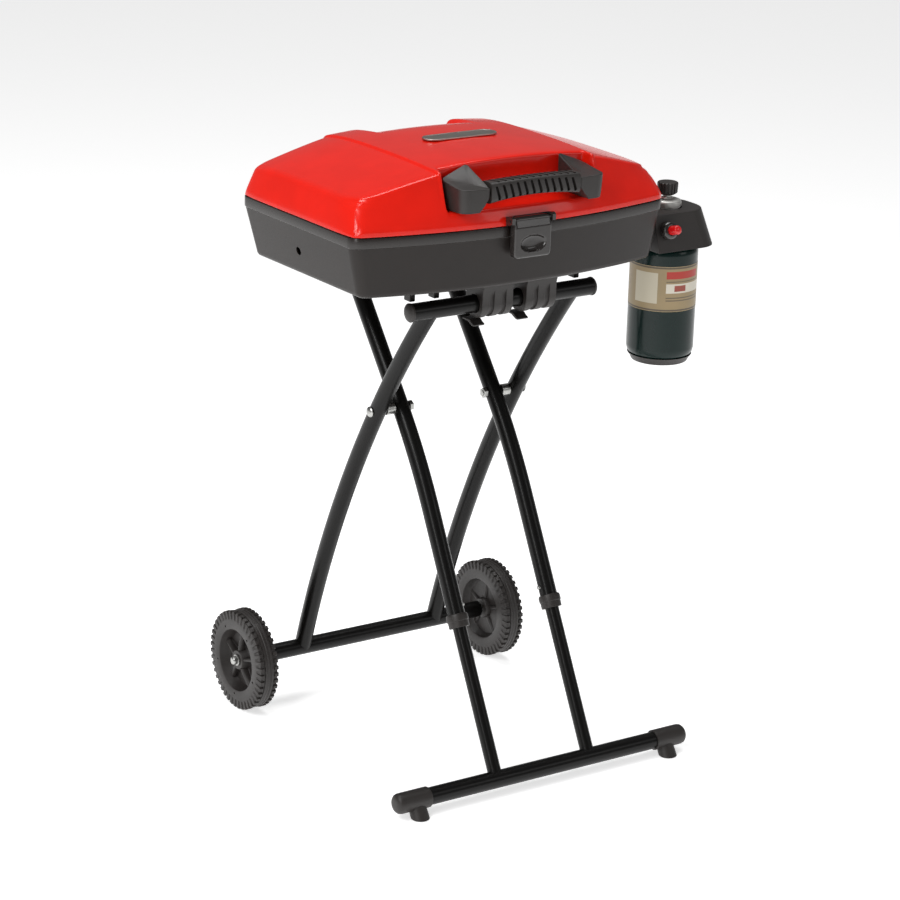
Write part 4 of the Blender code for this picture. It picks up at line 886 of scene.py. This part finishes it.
class GRILL_OT_lid(bpy.types.Operator):
    """Pressed lid with its raised band, handle recess and rear dish, and the blank badge"""
    bl_idname = "grill.lid"
    bl_label = "Lid"

    def execute(self, context):
        half = BOX_RIM[0]
        stations = [(half - inset, share) for share, inset in SIDE_WALL]
        across = [0.2400, 0.2330, 0.2200, 0.1900, 0.1600, 0.1400]
        across += [BAND_HALF + past for past in (0.0040, 0.0022, -0.0002, -0.0020)]
        across += [RECESS_HALF + past for past in (0.0003, -0.0030, -0.0050)] + [0.1050]
        across += [DISH_HALF + past for past in (0.0080, 0.0020, -0.0020, -0.0080)] + [0.0550, 0.0280]
        stations += [(x, 1.0) for x in across]
        stations = [(-x, share) for x, share in stations] + [(0.0, 1.0)] + list(reversed(stations))
        lid = skin("lid_pressed", [lid_section(x, share) for x, share in stations])
        if sum(face.normal.z for face in lid.data.polygons) < 0:
            lid.data.flip_normals()
        modify(lid, "SOLIDIFY", thickness=LID_WALL, offset=-1)
        modify(lid, "SUBSURF", levels=2, render_levels=2)
        done(lid, "lid", lid_enamel(), ["lid"], 60, weighted=False)
        badge = refined("badge_plate", "badge_plate_brushed", 0.0006, 3, 30)
        take_up(badge)
        bpy.ops.object.mode_set(mode="EDIT")
        bpy.ops.mesh.select_all(action="DESELECT")
        bpy.ops.mesh.select_mode(type="FACE")
        mesh = bmesh.from_edit_mesh(badge.data)
        top = max(mesh.faces, key=lambda face: face.calc_area() * (face.normal.z > 0.9))
        top.select = True
        bmesh.update_edit_mesh(badge.data)
        bpy.ops.mesh.inset(thickness=0.0018)
        bpy.ops.mesh.inset(thickness=0.0004, depth=-0.0006)
        bpy.ops.object.mode_set(mode="OBJECT")
        done(badge, "lid", badge_metal(), ["badge_plate"], 35)
        badge.data.materials.append(badge_field())
        field = max(badge.data.polygons, key=lambda face: face.area * (face.normal.z > 0.9))
        field.material_index = 1
        return {"FINISHED"}


class GRILL_OT_handle(bpy.types.Operator):
    """Handle ends and the slotted grip between them"""
    bl_idname = "grill.handle"
    bl_label = "Handle"

    def execute(self, context):
        for side, sign in SIDES:
            end = self.make_end("handle_end_%s_moulded" % side, sign)
            done(end, "lid", handle_plastic(), ["handle_end_" + side], 38)
        self.add_grip()
        return {"FINISHED"}

    def add_grip(self):
        """An arched bar with rounded corners, slotted along its top and its front."""
        middle_y, squareness = (GRIP_NEAR + GRIP_FAR) / 2, 0.46
        rows = []
        for i in range(41):
            x = -GRIP_HALF + 2 * GRIP_HALF * i / 40
            low, high = self.grip_edges(x)
            middle_z = (low + high) / 2
            wide, tall = (GRIP_FAR - GRIP_NEAR) / 2, (high - low) / 2
            row = []
            for k in range(32):
                angle = math.tau * k / 32
                c, s = math.cos(angle), math.sin(angle)
                row.append(at(x, middle_y + wide * math.copysign(abs(c) ** squareness, c),
                              middle_z + tall * math.copysign(abs(s) ** squareness, s)))
            rows.append(row)
        grip = skin("handle_grip_moulded", rows, rolled=True, capped=True)
        count, wide = looks().slot_count, looks().slot_width
        cutters = []
        for i in range(count):
            x = -0.0640 + 0.1280 * i / (count - 1)
            low, high = self.grip_edges(x)
            # Middle of the slot, reach below and above it, degrees of lean and its axis.
            slots = ((at(x, middle_y - 0.001, high), (0.0095, 0.0060), (0.0125, 0.0040), 24, "Z"),
                     (at(x, GRIP_NEAR, (low + high) / 2 - 0.001), (0.0040, 0.0108), (0.0060, 0.0104),
                      -20, "Y"))
            for place, below, above, degrees, axis in slots:
                lean = Matrix.Rotation(math.radians(degrees), 4, axis)
                cutters.append(slab("slot", place - Vector((wide / 2, *below)),
                                    place + Vector((wide / 2, *above)), wide * 0.45, lean))
        cut(grip, join(cutters, "slots"))
        done(grip, "lid", handle_plastic(), ["handle_grip"], 35, weighted=False)

    def grip_edges(self, x):
        """Heights of the grip's lower and upper edge, which arch towards its middle."""
        rise = GRIP_RISE * (1 - (x / GRIP_HALF) ** 2)
        return GRIP_LOW + rise, GRIP_HIGH + 0.3 * rise

    def make_end(self, name, sign):
        """A bracket with a swept leaf-shaped top that rises to a point at its inner back corner."""
        inner, outer, front, back = 0.0755, 0.1215, -0.1975, -0.1385
        # Corners round the bracket seen from above: middle of the arc, radius, first and last angle.
        corners = ((0.1055, -0.1815, 0.0160, -90, 0), (0.1135, -0.1485, 0.0080, 0, 90),
                   (0.0815, -0.1435, 0.0050, 90, 160), (0.0795, -0.1935, 0.0040, 180, 270))
        outline = []
        for x, y, radius, start, end in corners:
            for i in range(9):
                angle = math.radians(start + (end - start) * i / 8)
                outline.append((x + radius * math.cos(angle), y + radius * math.sin(angle)))
        middle_x, middle_y = 0.0965, -0.1700

        def top(x, y):
            depth = min(max((y - front) / (back - front), 0.0), 1.0)
            spread = min(max((x - inner) / (outer - inner), 0.0), 1.0)
            return 0.8680 + 0.0240 * depth ** 2 * (1 - 0.72 * spread) + 0.0012 * spread

        def shrunk(x, y, share, inset=0.0):
            away = Vector((x - middle_x, y - middle_y))
            away *= share * max(1 - inset / away.length, 0.0)
            return middle_x + away.x, middle_y + away.y

        foot = LID_Z + RECESS_Z + 0.0016
        rows = []
        for z, chamfer, inset in ((foot, 0.0170, 0.0030), (foot + 0.0006, 0.0164, 0.0022),
                                  (foot + 0.0100, 0.0085, 0.0012), (foot + 0.0190, 0.0, 0.0006)):
            row = []
            for x, y in outline:
                x, y = shrunk(x, y, 1.0, inset)
                row.append(at(sign * max(x, inner + chamfer), y, z))
            rows.append(row)
        for drop, inset in ((0.0016, 0.0), (0.0006, 0.0004), (0.0, 0.0016)):
            row = []
            for x, y in outline:
                near_x, near_y = shrunk(x, y, 1.0, inset)
                row.append(at(sign * near_x, near_y, top(x, y) - drop))
            rows.append(row)
        for share in (0.8, 0.55, 0.3, 0.08):
            spots = [shrunk(x, y, share) for x, y in outline]
            rows.append([at(sign * x, y, top(x, y)) for x, y in spots])
        return skin(name, rows, rolled=True, capped=True)


class GRILL_OT_latch(bpy.types.Operator):
    """Latch keeper and the rounded pull-down lever with its finger scoop"""
    bl_idname = "grill.latch"
    bl_label = "Latch"

    def execute(self, context):
        keeper = refined("latch_keeper", "latch_keeper_moulded", 0.0008, 3, 30)
        done(keeper, "lid", latch_plastic(), ["latch_keeper"], 40)
        lever = self.make_lever(*LATCH_AXIS)
        done(lever, "latch", latch_plastic(), ["latch_lever"], 50, weighted=False)
        return {"FINISHED"}

    def make_lever(self, y, z):
        """A rounded plate that leans back at its top and has an oval finger scoop near its foot."""
        half, low, high = 0.0310, LID_Z - 0.0450, z + 0.0045
        front, back, corner, soft = y - 0.0050, y + 0.0070, 0.0075, 0.0035
        levels = [low + (high - low) * i / 56 for i in range(57)]
        rows = []
        for level_z in levels:
            end = min(level_z - low, high - level_z)
            short = corner - math.sqrt(max(corner ** 2 - max(corner - end, 0.0) ** 2, 0.0))
            wide = half - short
            row = []
            for i in range(61):
                x = -wide + 2 * wide * i / 60
                edge = min(wide - abs(x), end)
                rounding = soft - math.sqrt(max(soft ** 2 - max(soft - edge, 0.0) ** 2, 0.0))
                lean = max(level_z - (high - 0.0150), 0.0) * 0.30
                oval = (x / 0.0215) ** 2 + ((level_z - (low + 0.0205)) / 0.0120) ** 2
                scoop = 0.0060 * max(1 - oval ** 2, 0.0) ** 0.6 if oval < 1 else 0.0
                row.append(at(LATCH_X + x, front + rounding + lean + scoop, level_z))
            row += [at(LATCH_X + wide * share, back, level_z) for share in (1.0, 0.5, 0.0, -0.5, -1.0)]
            rows.append(row)
        lever = skin("latch_lever_moulded", rows, rolled=True, capped=True)
        axle = turned("axle", [(-0.0355, 0.0018), (0.0355, 0.0018)], at(LATCH_X, y, z), (1, 0, 0), 24)
        return cut(lever, axle, "UNION")


class GRILL_OT_hinges(bpy.types.Operator):
    """Rear hinge leaves, pins and their rivets"""
    bl_idname = "grill.hinges"
    bl_label = "Hinges"

    def execute(self, context):
        rivet = [(-0.0002, 0.0026), (0.0006, 0.0026), (0.0014, 0.0018), (0.0017, 0.0006)]
        for side, sign in SIDES:
            for name, making, body, angle in (("box", "pressed", "grill_box", 40),
                                              ("lid", "pressed", "lid", 40),
                                              ("pin", "turned", "grill_box", 50)):
                node = "hinge_%s_%s" % (name, side)
                made = refined(node, node + "_" + making, 0.0003, 2, 30)
                done(made, body, zinc(), [node], angle)
            rivets = [turned("rivet", rivet, at(sign * HINGE_X + offset, 0.1547, 0.7990), (0, 1, 0), 20)
                      for offset in (-0.012, 0.012)]
            done(join(rivets, "hinge_rivets_" + side), "grill_box", zinc(), (), 50)
        return {"FINISHED"}


def hood_line(inset, top):
    """X, Y points round the hood: square to the box, rounded at its outer end."""
    x0, x1 = HOOD_X[0] + inset, HOOD_X[1] - inset
    y0, y1 = HOOD_Y[0] + inset, HOOD_Y[1] - inset
    if top:
        y0 += (HOOD_Z[1] - HOOD_Z[0]) * math.tan(HOOD_TILT)
        x1 -= 0.0110
        y1 -= 0.0060
    corner = 0.036 - inset
    points = [(x0, y0)]
    for cy, start in ((y0 + corner, -90), (y1 - corner, 0)):
        angles = [math.radians(start + 90 * i / 16) for i in range(17)]
        points += [(x1 - corner + corner * math.cos(a), cy + corner * math.sin(a)) for a in angles]
    return points + [(x0, y1)]


class GRILL_OT_gas_side(bpy.types.Operator):
    """Hood, regulator, knob, igniter and gas cylinder with its paper band"""
    bl_idname = "grill.gas_side"
    bl_label = "Gas side"

    def execute(self, context):
        low, high = HOOD_Z
        wall = 0.0022
        rows = [(wall + 0.0030, True, high - wall), (wall, False, low), (0, False, low),
                (0.0006, True, high - 0.0040), (0.0016, True, high - 0.0014), (0.0045, True, high)]
        hood = skin("regulator_hood_moulded", [[at(x, y, z) for x, y in hood_line(inset, top)]
                                               for inset, top, z in rows], rolled=True, capped=True)
        tilt = Vector((0, -math.cos(HOOD_TILT), math.sin(HOOD_TILT)))
        igniter = at(IGNITER_X, HOOD_Y[0] + (IGNITER_Z - low) * math.tan(HOOD_TILT), IGNITER_Z)
        # Holes for the regulator, the pipe and the igniter: middle, way, radius, number of sides.
        holes = ((at(*GAS_AXIS, high), (0, 0, 1), 0.0225, 48),
                 (at(HOOD_X[0], GAS_AXIS[1], BURNER_Z), (1, 0, 0), 0.0090, 32), (igniter, tilt, 0.0082, 32))
        for middle, way, radius, sides in holes:
            cut(hood, turned("hole", [(-0.01, radius), (0.01, radius)], middle, way, sides))
        soften(hood, 0.0006, 2, 35)
        done(hood, "grill_box", handle_plastic(), ["regulator_hood"], 32)
        collar = [(-0.0120, 0.0074), (-0.0120, 0.0078), (0.0003, 0.0078), (0.0003, 0.0132), (0.0010, 0.0136),
                  (0.0080, 0.0132), (0.0104, 0.0122), (0.0118, 0.0100), (0.0120, 0.0076), (0.0110, 0.0072)]
        made = turned("igniter_collar_moulded", collar, igniter, tilt, closed=True)
        done(made, "grill_box", latch_plastic(), ["igniter_collar"], 40)
        button = [(-0.0090, 0.0068), (0.0236, 0.0068), (0.0258, 0.0063), (0.0272, 0.0050),
                  (0.0278, 0.0030), (0.0280, 0.0008)]
        made = turned("igniter_button_moulded", button, igniter, tilt, 40)
        done(made, "igniter", button_red(), ["igniter_button"], 50)
        self.add_regulator()
        self.add_knob()
        self.add_cylinder()
        return {"FINISHED"}

    def add_regulator(self):
        """The cast body under the knob, with its flange on the hood and its spindle."""
        top = HOOD_Z[1]
        profile = [(0.7500, 0.0110), (0.7520, 0.0145), (0.7640, 0.0145), (0.7660, 0.0172),
                   (top + 0.0006, 0.0172), (top + 0.0006, 0.0208), (top + 0.0014, 0.0215),
                   (0.7830, 0.0215), (0.7846, 0.0210), (0.7862, 0.0196), (0.7876, 0.0160),
                   (0.7880, 0.0105), (0.7884, 0.0086), (0.7900, 0.0078), (0.7905, 0.0064),
                   (0.7996, 0.0062), (0.8000, 0.0056)]
        made = turned("regulator_body_cast", profile, at(*GAS_AXIS, 0), (0, 0, 1), 64)
        done(made, "grill_box", die_cast(), ["regulator_body"], 40)

    def add_knob(self):
        """A ribbed knob with a dished top."""
        ribs, rib_depth = 18, 0.0015
        rows = []
        # Height, radius, and 1 where the grooves between the ribs are cut.
        profile = ((0.7936, 0.0060, 0), (0.7936, 0.0100, 0), (0.7944, 0.0112, 0), (0.7960, 0.0136, 0),
                   (0.7972, 0.0148, 1), (0.8000, 0.0150, 1), (0.8100, 0.0155, 1), (0.8114, 0.0152, 1),
                   (0.8122, 0.0142, 0), (0.8125, 0.0130, 0), (0.8122, 0.0110, 0), (0.8122, 0.0020, 0))
        for z, radius, grooved in profile:
            row = []
            for i in range(ribs):
                for offset, groove in ((0.0, 0.0), (0.52, 0.0), (0.62, 1.0), (0.90, 1.0)):
                    angle = math.tau * (i + offset) / ribs
                    reach = radius - rib_depth * groove * grooved
                    row.append(at(GAS_AXIS[0] + reach * math.cos(angle),
                                  GAS_AXIS[1] + reach * math.sin(angle), z))
            rows.append(row)
        made = skin("control_knob_moulded", rows, rolled=True, capped=True)
        done(made, "knob", handle_plastic(), ["control_knob"], 30)

    def add_cylinder(self):
        """The drawn cylinder, the paper band round it and the ring it stands on."""
        axis, up = at(*GAS_AXIS, 0), (0, 0, 1)
        base, radius = CYLINDER_BASE, CYLINDER_R
        # Heights, and how far each lies inside the cylinder's side: base, shoulder, then the collar.
        low = ((0.0060, 0.0160), (0.0060, 0.0104), (0.0072, 0.0078), (0.0105, 0.0042), (0.0150, 0.0014),
               (0.0200, 0.0002), (0.0230, 0.0))
        high = ((0.7100, 0.0), (0.7130, 0.0003), (0.7168, 0.0016), (0.7215, 0.0046), (0.7260, 0.0098),
                (0.7300, 0.0170), (0.7330, 0.0250), (0.7345, 0.0300))
        body = [(base + rise, radius - inset) for rise, inset in low]
        body += [(z, radius - inset) for z, inset in high]
        body += [(0.7360, 0.0165), (0.7380, 0.0150), (0.7495, 0.0120)]
        made = turned("gas_cylinder_drawn", body, axis, up, 96)
        done(made, "grill_box", cylinder_paint(), ["gas_cylinder"], 50)
        band = [(0.6280, radius), (0.6280, radius + 0.0002), (0.6960, radius + 0.0002), (0.6960, radius)]
        made = turned("paper_band_printed", band, axis, up, 96, closed=True)
        done(made, "grill_box", paper_band(), (), 50)
        rim = base + 0.0057
        foot = [(base, 0.0390), (base, 0.0412), (base + 0.0008, 0.0420), (rim - 0.0006, 0.0440),
                (rim + 0.0046, 0.0478), (rim + 0.0050, 0.0470), (rim, 0.0422), (rim, 0.0344),
                (rim - 0.0014, 0.0340), (rim - 0.0014, 0.0385)]
        made = turned("cylinder_foot_moulded", foot, axis, up, 96, closed=True)
        done(made, "grill_box", handle_plastic(), ["cylinder_foot"], 40)


class GRILL_OT_clips(bpy.types.Operator):
    """Clips on the front tube with their levers, and the saddles on the rear tube"""
    bl_idname = "grill.clips"
    bl_label = "Clips and saddles"

    def execute(self, context):
        for side, _ in SIDES:
            for node, body in (("clip_" + side, "grill_box"), ("rear_rest_" + side, "grill_box"),
                               ("clip_lever_" + side, "clip_lever_" + side)):
                made = refined(node, node + "_moulded", 0.0009, 3, 32)
                done(made, body, handle_plastic(), [node], 40)
        return {"FINISHED"}


class GRILL_OT_stage(bpy.types.Operator):
    """Pale floor, soft studio lights and the camera"""
    bl_idname = "grill.stage"
    bl_label = "Stage"

    def execute(self, context):
        deselect()
        bpy.ops.mesh.primitive_circle_add(vertices=96, radius=30, fill_type="NGON", location=(0, 0, -0.0006))
        floor = rename(bpy.context.object, "floor")
        floor.data.transform(floor.matrix_world)
        floor.matrix_world = Matrix()
        paper = surface("studio_paper", linear("#fafafa"), 0.99, (0.75, 0.85), 40.0, 0.0,
                        {"Emission Color": (1, 1, 1, 1), "Emission Strength": 0.62, "Specular IOR Level": 0.1})
        floor.data.materials.append(paper)
        world = bpy.data.worlds.new("studio")
        world.use_nodes = True
        back = world.node_tree.nodes["Background"]
        back.inputs["Color"].default_value = (1, 1, 1, 1)
        back.inputs["Strength"].default_value = 0.18
        context.scene.world = world
        context.scene.view_settings.view_transform = "Standard"
        target = at(0, 0, 0.55)
        # Name, place in metres from the middle of the stand, width and height in metres, watts.
        lamps = (("strip", (-2.9, -1.75, 1.75), (0.45, 2.0), 17), ("front", (1.95, -2.75, 1.95), (1.2, 0.8), 5),
                 ("key", (-2.7, -0.7, 3.1), (1.8, 1.4), 66), ("top", (0.3, 0.5, 3.8), (2.6, 1.6), 72))
        for name, place, size, watts in lamps:
            lamp = bpy.data.lights.new(name, "AREA")
            lamp.shape = "RECTANGLE"
            lamp.size, lamp.size_y = size
            lamp.energy = watts
            obj = bpy.data.objects.new(name, lamp)
            context.scene.collection.objects.link(obj)
            obj.location = at(*place)
            obj.rotation_euler = (target - obj.location).to_track_quat("-Z", "Y").to_euler()
            obj.visible_camera = False
        self.add_camera(context)
        return {"FINISHED"}

    def add_camera(self, context):
        """A camera in front and to the left, slightly rolled, looking down on the lid."""
        azimuth, elevation, roll = (math.radians(a) for a in (-34.70, 17.82, 1.80))
        back = Vector((math.sin(azimuth) * math.cos(elevation), -math.cos(azimuth) * math.cos(elevation),
                       math.sin(elevation)))
        right = (-back).cross(Vector((0, 0, 1))).normalized()
        up = right.cross(-back)
        across = right * math.cos(roll) + up * math.sin(roll)
        upright = up * math.cos(roll) - right * math.sin(roll)
        camera = bpy.data.objects.new("camera", bpy.data.cameras.new("camera"))
        context.scene.collection.objects.link(camera)
        camera.data.lens = looks().lens
        camera.data.sensor_width = 36.0
        camera.data.clip_end = 100
        place = Matrix((across, upright, back)).transposed().to_4x4()
        place.translation = at(-2.4610, -3.5632, 1.8195)
        camera.matrix_world = place
        context.scene.camera = camera


OPERATORS = (GRILL_OT_tubes, GRILL_OT_fasteners, GRILL_OT_foot_caps, GRILL_OT_wheels, GRILL_OT_firebox,
             GRILL_OT_cooking, GRILL_OT_lid, GRILL_OT_handle, GRILL_OT_latch, GRILL_OT_hinges,
             GRILL_OT_gas_side, GRILL_OT_clips, GRILL_OT_stage)


class GRILL_PT_panel(bpy.types.Panel):
    """Sidebar panel with the grill's settings and build steps"""
    bl_idname = "GRILL_PT_panel"
    bl_label = "Folding gas grill"
    bl_space_type = "VIEW_3D"
    bl_region_type = "UI"
    bl_category = "Grill"

    def draw(self, context):
        for name in GrillLooks.__annotations__:
            self.layout.prop(context.scene.grill_looks, name)
        for operator in OPERATORS:
            self.layout.operator(operator.bl_idname)


CLASSES = (GrillLooks, *OPERATORS, GRILL_PT_panel)


def register():
    for item in CLASSES:
        bpy.utils.register_class(item)
    bpy.types.Scene.grill_looks = bpy.props.PointerProperty(type=GrillLooks)


def unregister():
    del bpy.types.Scene.grill_looks
    for item in reversed(CLASSES):
        bpy.utils.unregister_class(item)


def main():
    """Build every piece and the stage."""
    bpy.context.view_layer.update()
    register()
    for operator in OPERATORS:
        group, name = operator.bl_idname.split(".")
        getattr(getattr(bpy.ops, group), name)()


if __name__ == "__main__":
    main()
